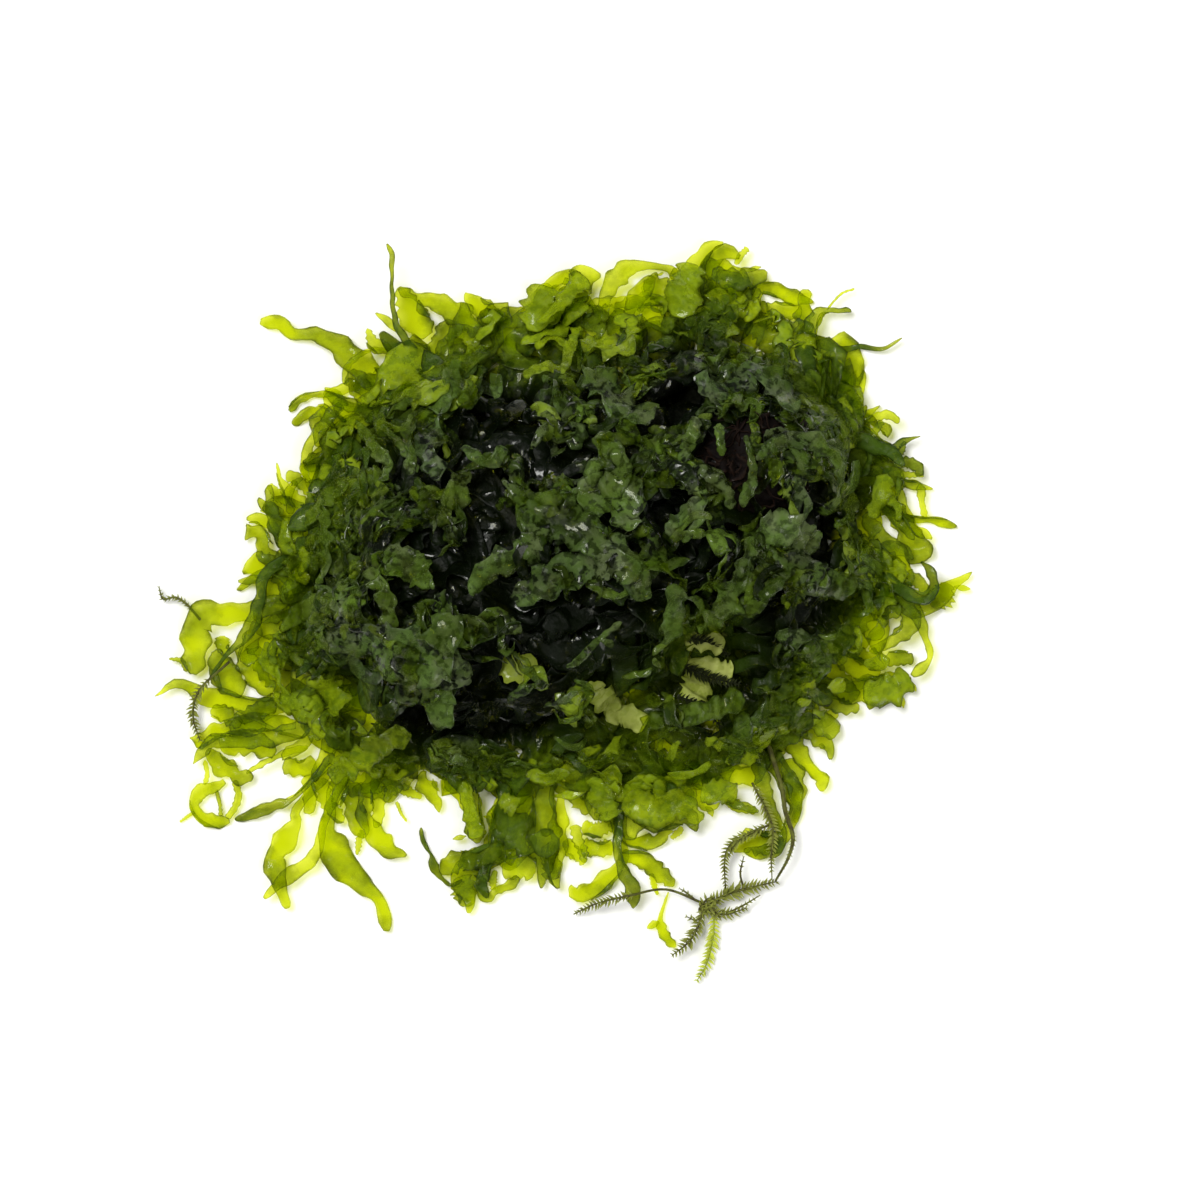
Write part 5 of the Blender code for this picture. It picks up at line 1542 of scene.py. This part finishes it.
@dataclass
class Tangle(Growth):
    """The mass of thalli that fills the clump, laid one over another."""

    rim_share: float = 1.05
    past_edge: float = 0.02
    turn_back: float = 1.9
    cover_share: float = 0.42
    open_from: float = 0.2
    dark_from: float = 0.8
    joints: int = 5
    cell_mm: float = 0.9
    cell_points: int = 6
    bed_share: float = 0.94
    bed_reach_mm: float = 50.0
    bed_kinds: tuple[CutKind, ...] = (LOBED, LEAFLET, RIBBON)
    bed_steps: tuple[float, ...] = (-1.0, -0.3, 0.4, 1.0)
    crevice_shares: tuple[float, float] = (0.62, 0.8)
    crevice_shade_age: float = 1.25
    crevice_loft: float = 0.8
    seed: int = 21

    def cells(self, mesh: Mesh) -> set[tuple[int, int]]:
        """Tells which square cells of the floor a mesh lies well over.

        Args:
            mesh: The mesh.

        Returns:
            The column and row of each cell.
        """
        places = np.floor(mesh.points[:, :2] / self.cell_mm).astype(int)
        cells, counts = np.unique(places, axis=0, return_counts=True)
        return {(int(i), int(j)) for i, j in cells[counts >= self.cell_points]}

    def bed(self, laid: Sequence[Mesh], chance: random.Random) -> list[Mesh]:
        """Lays flat thalli on the floor wherever it would show inside the clump.

        Args:
            laid: The thalli that are already there.
            chance: The source of variation.

        Returns:
            The flat thalli.
        """
        covered = set().union(*(self.cells(mesh) for mesh in laid))
        reach = int(self.bed_reach_mm / self.cell_mm)
        bare = []
        for i in range(-reach, reach):
            for j in range(-reach, reach):
                x, y = (i + 0.5) * self.cell_mm, (j + 0.5) * self.cell_mm
                inside = MOUND.polar(x, y, MOUND.fill_radii) < self.bed_share
                if inside and not covers(np.array([(x, y)]), 0.0, LIGHT_GAPS):
                    bare.append((i, j, x, y))
        chance.shuffle(bare)
        parts = []
        for i, j, x, y in bare:
            if (i, j) in covered:
                continue
            heading, half = chance.uniform(*PHASES), chance.uniform(2.6, 4.6)
            height, bend = chance.uniform(0.3, 1.6), chance.gauss(0, 0.3)
            across = (-math.sin(heading) * bend * half, math.cos(heading) * bend * half)
            route = [
                (x + math.cos(heading) * half * s + across[0] * s * s,
                 y + math.sin(heading) * half * s + across[1] * s * s, height)
                for s in self.bed_steps
            ]
            width = chance.uniform(2.6, 3.8)
            lay = Lay(
                route=route, widths=[width * 0.8, width, width, width * 0.7],
                ruffle=chance.uniform(0.2, 0.4), wave_mm=chance.uniform(2.8, 4.6),
                age=chance.uniform(0.0, 0.6), dense=chance.uniform(0.0, 0.2),
            )
            parts.append(self.bender.bend(chance.choice(self.bed_kinds), lay, chance))
            covered |= self.cells(parts[-1]) | {(i, j)}
        return parts

    def walk(self, plan: LayerPlan, chance: random.Random) -> Lay | None:
        """Lays one thallus somewhere in a layer.

        Args:
            plan: The layer.
            chance: The source of variation.

        Returns:
            How it lies, or None if it would cover a gap.
        """
        turn = chance.uniform(0, math.tau)
        out = math.sqrt(chance.uniform(plan.out[0] ** 2, plan.out[1] ** 2))
        edge = MOUND.edge(turn, plan.radii)
        if chance.random() > (edge / max(plan.radii)) ** 2:
            return None
        x, y = MOUND.place(turn, out * edge)
        heading, bend = chance.uniform(0, math.tau), chance.gauss(0.0, 0.5)
        step, width = chance.uniform(*plan.length) / (self.joints - 1), chance.uniform(*plan.width)
        share, rise = chance.uniform(*plan.share), chance.uniform(*plan.rise)
        route, ups = [], []
        for joint in range(self.joints):
            up = MOUND.up(x, y, share)
            lift = rise * math.sin(math.pi * joint / (self.joints - 1)) + chance.gauss(0, 0.2)
            route.append(np.array((x, y, float(MOUND.top(x, y)) * share)) + up * lift)
            ups.append(up)
            for _ in range(3):
                ahead = np.array((math.cos(heading), math.sin(heading), 0.0))
                ahead = one_long(ahead - up * ahead.dot(up))
                new_x, new_y = x + step * ahead[0], y + step * ahead[1]
                if MOUND.polar(new_x, new_y, plan.radii) < plan.out[1]:
                    break
                heading += self.turn_back
            x, y = new_x, new_y
            heading += bend + chance.gauss(0, 0.25)
        if max(MOUND.polar(p[0], p[1], plan.radii) for p in route) > plan.out[1] + self.past_edge:
            return None
        holes = LIGHT_GAPS
        if plan.share[0] > self.open_from:
            holes = holes + WINDOW_GAPS + THIN_PLACES
        if plan.share[0] > self.dark_from:
            holes = holes + DARK_PLACES
        spots, half = curve_through(route, 3), width * self.cover_share
        in_crevice = share > self.crevice_shares[0] and covers(spots, half, CREVICES)
        if covers(spots, half, holes) or in_crevice and share > self.crevice_shares[1]:
            return None
        widths = [width * chance.uniform(0.8, 1.2) for _ in range(self.joints)]
        lay = Lay(
            route=route, widths=widths, ups=ups, ruffle=chance.uniform(0.2, 0.5),
            wave_mm=chance.uniform(2.4, 4.6), tilt=chance.gauss(0, plan.tilt),
            twist=chance.gauss(0, plan.twist), cup=chance.gauss(0, 0.22),
            age=plan.age[0] + (plan.age[1] - plan.age[0]) * chance.random() ** 0.5,
            dense=chance.uniform(*plan.dense), share=share, loft=plan.loft,
        )
        # Painted shade: a thallus low in a crevice is given the age of the darkest buried growth, so that
        # it is coloured near black.
        if in_crevice:
            lay.age, lay.loft = self.crevice_shade_age, self.crevice_loft
        return lay

    def layer(self, plan: LayerPlan, chance: random.Random) -> Mesh:
        """Fills one layer.

        Args:
            plan: The layer.
            chance: The source of variation.

        Returns:
            All of its thalli.
        """
        parts = []
        while len(parts) < plan.count:
            lay = self.walk(plan, chance)
            if lay is None:
                continue
            bent = self.bender.bend(chance.choice(plan.kinds), lay, chance)
            if MOUND.farthest(bent.points) < self.rim_share:
                parts.append(bent)
        return Mesh.joined(parts)

    def build(self, fresh: bpy.types.Material, ribbons: Mesh) -> None:
        """Builds and dresses every layer.

        Args:
            fresh: The finish of the young lobes.
            ribbons: The loose ribbons, which are there already.
        """
        chance = random.Random(self.seed)
        laid = [ribbons]
        for number, plan in enumerate(LAYERS):
            laid.append(self.layer(plan, chance))
            nodes = ("matted_heart",) if number == 0 else ()
            self.piece(plan.name, laid[-1:], "deep_green", *nodes)
        self.piece("tangle_bed", self.bed(laid, chance), "bright_green")
        make_piece("fresh_lobes", self.layer(FRESH_LOBES, chance), fresh, "bright_green")


@dataclass
class Fringe(Growth):
    """The small thalli whose tips make the clump's ragged edge."""

    count: int = 130
    out: tuple[float, float] = (0.74, 1.0)
    rim_share: float = 1.1
    length: tuple[float, float] = (4.0, 10.0)
    width: tuple[float, float] = (1.4, 4.2)
    dark_part: float = 0.14
    dark_age: float = 0.9
    cover_share: float = 0.4
    kinds: tuple[CutKind, ...] = (RIBBON, LOBED, LEAFLET, FINGERED, HORNED)
    seed: int = 63

    def build(self) -> None:
        """Builds and dresses the fringe as one piece."""
        chance = random.Random(self.seed)
        parts: list[Mesh] = []
        while len(parts) < self.count:
            turn = chance.uniform(0, math.tau)
            reach = chance.uniform(*self.out) * MOUND.edge(turn, MOUND.fill_radii)
            x, y = MOUND.place(turn, reach)
            heading, bend = turn + chance.gauss(0, 1.5), chance.gauss(0, 0.5)
            step, share = chance.uniform(*self.length) / 3, chance.uniform(0.1, 0.95)
            route = []
            for _ in range(4):
                route.append((x, y, max(0.3, float(MOUND.top(x, y)) * share)))
                x, y = x + step * math.cos(heading), y + step * math.sin(heading)
                heading += bend
            width = chance.uniform(*self.width)
            lay = Lay(
                route=route, widths=[width * chance.uniform(0.75, 1.2) for _ in range(4)],
                ruffle=chance.uniform(0.2, 0.45), wave_mm=chance.uniform(2.4, 4.4),
                tilt=chance.gauss(0, 0.35), twist=chance.gauss(0, 0.7),
                cup=chance.gauss(0, 0.2), age=chance.uniform(0.0, 0.65),
                dense=chance.uniform(0.0, 0.35), share=share, loft=1.2,
            )
            if chance.random() < self.dark_part:
                lay.age, lay.dense = self.dark_age, 1.0
            bent = self.bender.bend(chance.choice(self.kinds), lay, chance)
            shut = covers(np.asarray(route), width * self.cover_share, LIGHT_GAPS + THIN_PLACES)
            if MOUND.farthest(bent.points) < self.rim_share and not shut:
                parts.append(bent)
        self.piece("rim_fringe", parts, "bright_green")


@dataclass
class RimRibbons(Growth):
    """The thalli that spread from under the heart, each in the place of its solid, and the
    smaller ones between them."""

    fold_from_mm: float = 1.6
    fold_out: tuple[float, ...] = (0.42, 0.3, 0.34, 0.44)
    fold_rise_mm: tuple[float, ...] = (-0.1, 0.25, 0.25, -0.1)
    fold_width: tuple[float, ...] = (0.08, 0.24, 0.21, 0.06)
    dark_age: float = 0.85
    clear_age: float = 0.3
    clear_dense: float = 0.12
    seed: int = 5

    def fold(
        self, route: Sequence[Point], widths: Sequence[float], chance: random.Random
    ) -> Mesh:
        """Rolls part of a ribbon's margin over, as a narrow dark strip along one side of it.

        Args:
            route: The ribbon's middle line.
            widths: Its width at each of the route's points.
            chance: The source of variation.

        Returns:
            The rolled margin.
        """
        path = curve_through(route, 6)
        broad = curve_through([(width,) for width in widths], 6)[:, 0]
        along = unit(np.gradient(path, axis=0))
        side = unit(np.cross(UP, along)) * chance.choice((-1.0, 1.0))
        first = chance.randint(0, len(path) // 2)
        last = min(len(path) - 1, first + chance.randint(len(path) // 4, len(path) // 2))
        picks = np.linspace(first, last, 4).round().astype(int)
        depth = np.array(self.fold_out) + chance.gauss(0, 0.03)
        line = path[picks] + side[picks] * (broad[picks] * depth)[:, None]
        line = line + np.outer(self.fold_rise_mm, UP)
        share = np.array(self.fold_width) * chance.uniform(0.7, 1.3)
        lay = Lay(
            route=line, widths=np.maximum(broad[picks] * share, self.bender.thinnest_mm),
            ruffle=0.3, wave_mm=chance.uniform(2.4, 4.0), tilt=chance.gauss(0, 0.5), crumple=0.1,
            age=chance.uniform(0.3, 0.8), dense=chance.uniform(0.2, 0.9),
        )
        return self.bender.bend(LEAFLET, lay, chance)

    def bend(
        self, kind: CutKind, spots: Sequence[Sequence[float]], chance: random.Random,
        dark: bool = False, clear: bool = False,
    ) -> Mesh:
        """Bends one ribbon.

        Args:
            kind: Its form.
            spots: The x, y, z and width at points from its root to its tip.
            chance: The source of variation.
            dark: Whether it is thick and dark.
            clear: Whether it is thin and light.

        Returns:
            The ribbon.
        """
        route, widths = [spot[:3] for spot in spots], [spot[3] for spot in spots]
        lay = Lay(
            route=route, widths=widths, ruffle=chance.uniform(0.25, 0.5),
            wave_mm=chance.uniform(2.8, 5.0), tilt=chance.gauss(0, 0.15),
            twist=chance.gauss(0, 0.45), cup=chance.uniform(-0.15, 0.15),
            age=chance.uniform(0.0, 0.65), dense=0.8 * chance.random() ** 2.5,
        )
        if dark:
            lay.age, lay.dense = self.dark_age, 1.0
        if clear:
            lay.age, lay.dense, lay.twist = self.clear_age, self.clear_dense, lay.twist * 0.5
        parts = [self.bender.bend(kind, lay, chance)]
        if max(widths) > self.fold_from_mm and not clear:
            folds = chance.choice((1, 2)) if len(route) > 4 else 1
            parts += [self.fold(route, widths, chance) for _ in range(folds)]
        return Mesh.joined(parts)

    def build(self) -> Mesh:
        """Builds and dresses every ribbon.

        Returns:
            All of them together.
        """
        chance = random.Random(self.seed)
        laid = []
        for name, (kind, spots) in RIBBONS.items():
            dark, clear = name in DARK_RIBBONS, name in CLEAR_RIBBONS
            laid.append(self.bend(kind, in_mm(spots), chance, dark, clear))
            self.piece(f"thallus_{name}", laid[-1:], "bright_green", f"ribbon_{name}")
        parts = []
        for kind, height, spots in SMALL_RIBBONS:
            lifted = [(x, y, height, width) for x, y, width in in_mm(spots)]
            parts.append(self.bend(kind, lifted, chance))
        self.piece("small_ribbons", parts, "bright_green")
        return Mesh.joined(laid + parts)


@dataclass
class TopBlades(Growth):
    """The broad wet thalli that lie over the heart, or over the clump's outer part."""

    name: str = "top_blades"
    rows: Sequence[tuple[CutKind, float, float, Spots]] = TOP_BLADES
    dense: tuple[float, float] = (0.5, 1.0)
    crumple: float = 0.34
    seed: int = 9
    wider: float = 1.05
    older: float = 0.14

    def build(self) -> None:
        """Builds and dresses the blades as one piece."""
        chance = random.Random(self.seed)
        parts = []
        for kind, stand, age, row in self.rows:
            spots = in_mm(row)
            ups = [MOUND.up(x, y, 1.0, 2.5) for x, y, _ in spots]
            route = []
            for (x, y, _), up in zip(spots, ups):
                ground = np.array((x, y, float(MOUND.top(x, y))))
                route.append(ground + up * (stand + chance.uniform(-0.3, 0.5)))
            lay = Lay(
                route=route, widths=[width * self.wider for _, _, width in spots], ups=ups,
                ruffle=chance.uniform(0.25, 0.5), wave_mm=chance.uniform(2.8, 5.0),
                tilt=chance.gauss(0, 0.15), cup=chance.uniform(-0.3, 0.3), crumple=self.crumple,
                age=age + self.older, dense=chance.uniform(*self.dense),
            )
            parts.append(self.bender.bend(kind, lay, chance))
        self.piece(self.name, parts, "deep_green")


@dataclass
class BacklitThalli(Growth):
    """The thalli that are seen at the bottom of the thin places, painted pale for the light that comes up
    through them.
    """

    lowest_mm: float = 0.6
    wider: float = 1.3
    seed: int = 14

    def build(self) -> None:
        """Builds and dresses them as one piece."""
        chance = random.Random(self.seed)
        parts = []
        for kind, sunk, age, row in BACKLIT_THALLI:
            spots = in_mm(row)
            heights = [max(self.lowest_mm, float(MOUND.top(x, y)) - sunk) for x, y, _ in spots]
            lay = Lay(
                route=[(x, y, height) for (x, y, _), height in zip(spots, heights)],
                widths=[width * self.wider for _, _, width in spots],
                ruffle=0.2, wave_mm=4.0, age=age, dense=0.5,
            )
            parts.append(self.bender.bend(kind, lay, chance))
        self.piece("backlit_thalli", parts, "bright_green")


@dataclass
class OldGrowth(Growth):
    """The lump of old brown growth: a knobbly base under a mat of dead thallus and fibres."""

    centre: Point = (21.5, 17.0, 11.6)
    axes: Point = (9.5, 7.0, 4.6)
    turn: float = math.radians(28)
    base_age: float = 0.4
    fibres: int = 60
    seed: int = 31

    def surface(self, ways: np.ndarray) -> np.ndarray:
        """The lump's surface in some directions from its middle.

        Args:
            ways: Unit directions, one per row.

        Returns:
            Places in the part's frame, in millimetres.
        """
        knob = 1 + 0.09 * np.sin(7 * ways[:, 0] + 2) * np.cos(6 * ways[:, 1])
        knob = knob + 0.06 * np.sin(9 * ways[:, 2] + 4 * ways[:, 0])
        knob = knob + 0.035 * np.sin(23 * ways[:, 0]) * np.sin(19 * ways[:, 1] + 11 * ways[:, 2])
        local = ways * np.asarray(self.axes) * 0.92 * knob[:, None]
        cos, sin = math.cos(self.turn), math.sin(self.turn)
        x = local[:, 0] * cos - local[:, 1] * sin
        y = local[:, 0] * sin + local[:, 1] * cos
        return np.stack([x, y, local[:, 2]], axis=1) + np.asarray(self.centre)

    def lump(self) -> Mesh:
        """Models the base from a cube that is cut fine and drawn out to a ball.

        Returns:
            The base.
        """
        bpy.ops.object.select_all(action="DESELECT")
        bpy.ops.mesh.primitive_cube_add(size=2.0, location=(0, 0, 0))
        bpy.ops.object.mode_set(mode="EDIT")
        bpy.ops.mesh.select_all(action="SELECT")
        bpy.ops.mesh.subdivide(number_cuts=23)
        bpy.ops.transform.tosphere(value=1.0)
        bpy.ops.object.mode_set(mode="OBJECT")
        points, faces = take_shape(bpy.context.object)
        return Mesh.plain(self.surface(unit(points)), faces, self.base_age)

    def build(self) -> None:
        """Builds and dresses the lump and its fibres."""
        chance = random.Random(self.seed)
        parts = [self.lump()]
        for _ in range(self.fibres):
            turn, lean = chance.uniform(0, math.tau), chance.uniform(-0.2, 1.5)
            heading = chance.uniform(0, math.tau)
            ways = []
            for _ in range(5):
                flat = math.cos(lean)
                ways.append((math.cos(turn) * flat, math.sin(turn) * flat, math.sin(lean)))
                turn += 0.24 * math.cos(heading)
                lean += 0.2 * math.sin(heading)
                heading += chance.gauss(0, 0.5)
            route = self.surface(unit(np.array(ways)))
            out = unit(route - np.asarray(self.centre))
            lift = np.array([0.1, chance.uniform(0.1, 0.6), chance.uniform(0.1, 0.6), 0.3, 0.0])
            kind = chance.choice((THREAD, THREAD, LOBED))
            width = 0.7 if kind is THREAD else chance.uniform(1.2, 2.2)
            lay = Lay(
                route=route + out * lift[:, None], widths=[width] * 5, ups=out,
                ruffle=0.5, wave_mm=2.4, tilt=chance.gauss(0, 0.6), age=chance.random(),
            )
            parts.append(self.bender.bend(kind, lay, chance))
        self.piece("old_growth_mat", parts, "old_brown", "old_brown_growth")


@dataclass
class MossLeaf:
    """One tiny pointed leaf, modelled once. It runs along x from 0 to 1."""

    width: float = 0.34
    thick: float = 0.08

    def make(self) -> tuple[np.ndarray, np.ndarray]:
        """Models the leaf.

        Returns:
            Its points and its four-cornered faces.
        """
        bpy.ops.object.select_all(action="DESELECT")
        bpy.ops.mesh.primitive_cube_add(size=1.0, location=(0.5, 0, 0))
        leaf = bpy.context.object
        bpy.ops.object.transform_apply(location=True, rotation=False, scale=False)
        bpy.ops.object.mode_set(mode="EDIT")
        bpy.ops.mesh.select_mode(type="VERT")
        bpy.ops.mesh.select_all(action="SELECT")
        bpy.ops.mesh.bisect(plane_co=(0.35, 0, 0), plane_no=(1, 0, 0))
        bpy.ops.mesh.select_all(action="SELECT")
        bpy.ops.transform.resize(value=(1.0, self.width, self.thick), center_override=(0, 0, 0))
        for place, share in ((0.0, 0.3), (1.0, 0.06)):
            choose_points(leaf, lambda co, place=place: abs(co.x - place) < 1e-3)
            bpy.ops.transform.resize(value=(1.0, share, 0.6), center_override=(place, 0, 0))
        bpy.ops.object.mode_set(mode="OBJECT")
        return take_shape(leaf)


@dataclass
class Moss:
    """The sprigs of moss: wiry stems, bare in places, with rows of tiny pointed leaves."""

    sides: int = 6
    stem_age: float = 0.7
    leaf_step_mm: float = 0.42
    lowest_mm: float = 0.05
    gap_sprig_sunk_mm: float = 0.2
    seed: int = 77

    def tube(self, route: Sequence[Point], radii: Sequence[float]) -> Mesh:
        """A closed round stem.

        Args:
            route: The stem's middle, in millimetres.
            radii: Its radius at each of the route's points.

        Returns:
            The stem.
        """
        path = curve_through(route, 6)
        places = np.linspace(0, 1, len(radii))
        thick = np.interp(np.linspace(0, 1, len(path)), places, radii)
        along = unit(np.gradient(path, axis=0))
        side = unit(np.cross(UP, along))
        up = np.cross(along, side)
        turns = np.arange(self.sides) * math.tau / self.sides
        rings = [path + (side * math.cos(t) + up * math.sin(t)) * thick[:, None] for t in turns]
        points = np.stack(rings, axis=1).reshape(-1, 3)
        faces = []
        for row in range(len(path) - 1):
            for k in range(self.sides):
                a, b = row * self.sides + k, row * self.sides + (k + 1) % self.sides
                faces.append((a, b, b + self.sides, a + self.sides))
        last = (len(path) - 1) * self.sides
        faces += [(3, 2, 1, 0), (5, 4, 3, 0)]
        faces += [(last, last + 1, last + 2, last + 3), (last, last + 3, last + 4, last + 5)]
        return Mesh.plain(points, np.array(faces), self.stem_age)

    def shoot(
        self, route: Sequence[Point], leafy: tuple[float, float], reach: float, stem: float,
        chance: random.Random,
    ) -> Mesh:
        """One stem with its leaves.

        Args:
            route: The stem's middle, from root to tip, in millimetres.
            leafy: The shares of its length that the leaves start and end at.
            reach: The leaves' length.
            stem: The stem's radius.
            chance: The source of variation.

        Returns:
            The shoot.
        """
        parts = [self.tube(route, [stem, stem * 0.9, stem * 0.45])]
        flat_leaf, leaf_faces = MossLeaf().make()
        path = curve_through(route, 10)
        run = run_along(path)
        along = unit(np.gradient(path, axis=0))
        count = int((leafy[1] - leafy[0]) * run[-1] / self.leaf_step_mm)
        for number in range(count):
            share = leafy[0] + (leafy[1] - leafy[0]) * number / max(1, count - 1)
            station = share * run[-1]
            centre = between(station, run, path)
            ahead = one_long(between(station, run, along))
            side = one_long(np.cross(UP, ahead))
            up = np.cross(ahead, side)
            swell = math.sin(math.pi * min(0.97, 0.22 + 0.72 * number / max(1, count - 1)))
            for spin in (0.0, math.pi, chance.uniform(0.6, 2.5)):
                spin += chance.gauss(0, 0.25)
                out = side * math.cos(spin) + up * math.sin(spin) * 0.75
                lean = chance.uniform(0.75, 1.15)
                way = one_long(ahead * math.cos(lean) + out * math.sin(lean))
                broad = one_long(np.cross(np.cross(ahead, out), way))
                thick = np.cross(way, broad)
                local = flat_leaf * (reach * (0.35 + 0.65 * swell) * chance.uniform(0.8, 1.15))
                points = centre + local[:, :1] * way + local[:, 1:2] * broad + local[:, 2:3] * thick
                parts.append(Mesh.plain(points, leaf_faces, chance.random(), flat_leaf[:, 0]))
        return Mesh.joined(parts)

    def build(
        self, dark: bpy.types.Material, bright: bpy.types.Material, shaded: bpy.types.Material
    ) -> None:
        """Builds and dresses every sprig.

        Args:
            dark: The finish of the older sprigs.
            bright: The finish of the fresh one.
            shaded: The finish of those deep in the clump's openings, painted near black as shade.
        """
        chance = random.Random(self.seed)
        finishes = {"moss_tip_bright": bright, "moss_in_gap": shaded}
        for name, shoots in MOSS.items():
            mesh = Mesh.joined([self.shoot(in_mm(s), *rest, chance) for s, *rest in shoots])
            if name == "moss_in_gap":
                ground = MOUND.top(mesh.points[:, 0], mesh.points[:, 1])
                mesh.points[:, 2] += ground - self.gap_sprig_sunk_mm
            mesh.points[:, 2] += max(0.0, self.lowest_mm - float(mesh.points[:, 2].min()))
            material = finishes.get(name, dark)
            nodes = (name,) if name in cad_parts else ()
            make_piece(f"{name}_leafy", mesh, material, "moss_green", *nodes)


# The place it is seen in


@dataclass(frozen=True)
class Studio:
    """A pale floor, soft light from overhead and the photograph's camera, which looks straight
    down."""

    picture_px: int = 1200
    mm_per_px: float = 0.12
    middle_mm: tuple[float, float] = (4.38, 1.38)
    camera_height: float = 1.3
    sensor_mm: float = 36.0
    floor_half: float = 12.0
    sky: float = 0.14
    horizon: float = 1.02
    fade_height: float = 0.15
    key: float = 3.0
    fill_share: float = 0.45

    def camera(self) -> None:
        """Sets the camera over the clump, framed as the photograph is."""
        lens = bpy.data.cameras.new("camera")
        lens.sensor_width = self.sensor_mm
        across = self.picture_px * self.mm_per_px * MM
        lens.lens = self.sensor_mm * self.camera_height / across
        lens.clip_start, lens.clip_end = 0.05, 50.0
        camera = bpy.data.objects.new("camera", lens)
        camera.location = (self.middle_mm[0] * MM, self.middle_mm[1] * MM, self.camera_height)
        bpy.context.scene.collection.objects.link(camera)
        bpy.context.scene.camera = camera

    def lamp(self, name: str, way: Point, spread: float, strength: float) -> None:
        """Adds soft light from one side of the sky.

        Args:
            name: The lamp's name.
            way: Where the light comes from.
            spread: How wide its source looks, in degrees.
            strength: Its strength.
        """
        light = bpy.data.lights.new(name, "SUN")
        light.angle = math.radians(spread)
        light.energy = strength
        light.color = (1.0, 1.0, 0.97)
        lamp = bpy.data.objects.new(name, light)
        lamp.location = way
        lamp.rotation_mode = "QUATERNION"
        lamp.rotation_quaternion = (-Vector(way)).to_track_quat("-Z", "Y")
        bpy.context.scene.collection.objects.link(lamp)

    def floor(self) -> None:
        """Lays the floor."""
        bpy.ops.object.select_all(action="DESELECT")
        bpy.ops.mesh.primitive_plane_add(size=2 * self.floor_half, location=(0, 0, 0))
        floor = bpy.context.object
        floor.name = "floor"
        floor.data.materials.append(FloorFinish().material())

    def sky_light(self) -> None:
        """Makes the sky, which is bright at the horizon and dim overhead."""
        world = bpy.data.worlds.new("sky")
        world.use_nodes = True
        nodes, links = world.node_tree.nodes, world.node_tree.links
        background = nodes["Background"]
        background.inputs["Color"].default_value = (1.0, 1.0, 0.95, 1.0)
        way = nodes.new("ShaderNodeTexCoord")
        parts = nodes.new("ShaderNodeSeparateXYZ")
        fade = nodes.new("ShaderNodeMapRange")
        fade.inputs["From Max"].default_value = self.fade_height
        fade.inputs["To Min"].default_value = self.horizon
        fade.inputs["To Max"].default_value = self.sky
        links.new(way.outputs["Generated"], parts.inputs[0])
        links.new(parts.outputs["Z"], fade.inputs["Value"])
        links.new(fade.outputs["Result"], background.inputs["Strength"])
        bpy.context.scene.world = world

    def build(self) -> None:
        """Builds the floor, the light and the camera."""
        self.floor()
        self.sky_light()
        scene = bpy.context.scene
        scene.view_settings.view_transform = "Standard"
        scene.view_settings.look = "None"
        scene.cycles.transparent_max_bounces = 24
        self.lamp("key", (-0.36, 0.32, 0.95), 30.0, self.key)
        self.lamp("fill", (0.55, -0.35, 0.8), 50.0, self.key * self.fill_share)
        self.camera()


def main() -> None:
    """Builds the scene, piece by piece."""
    logging.basicConfig(level=logging.INFO, format="%(message)s")
    film = FILM.material()
    cutter = ThallusCutter()
    cutter.make_all(variants=6)
    bender = Bender(cutter)
    Studio().build()
    ribbons = RimRibbons(bender, film).build()
    fresh = FRESH_FILM.material()
    Tangle(bender, film).build(fresh, ribbons)
    Fringe(bender, film).build()
    TopBlades(bender, film).build()
    TopBlades(bender, fresh, "fresh_blades", FRESH_BLADES, (0.0, 0.4), crumple=0.16, seed=10).build()
    OldGrowth(bender, OLD_GROWTH.material()).build()
    BacklitThalli(bender, BACKLIT_FILM.material()).build()
    Moss().build(MOSS_DARK.material(), MOSS_BRIGHT.material(), MOSS_SHADED.material())


if __name__ == "__main__":
    main()
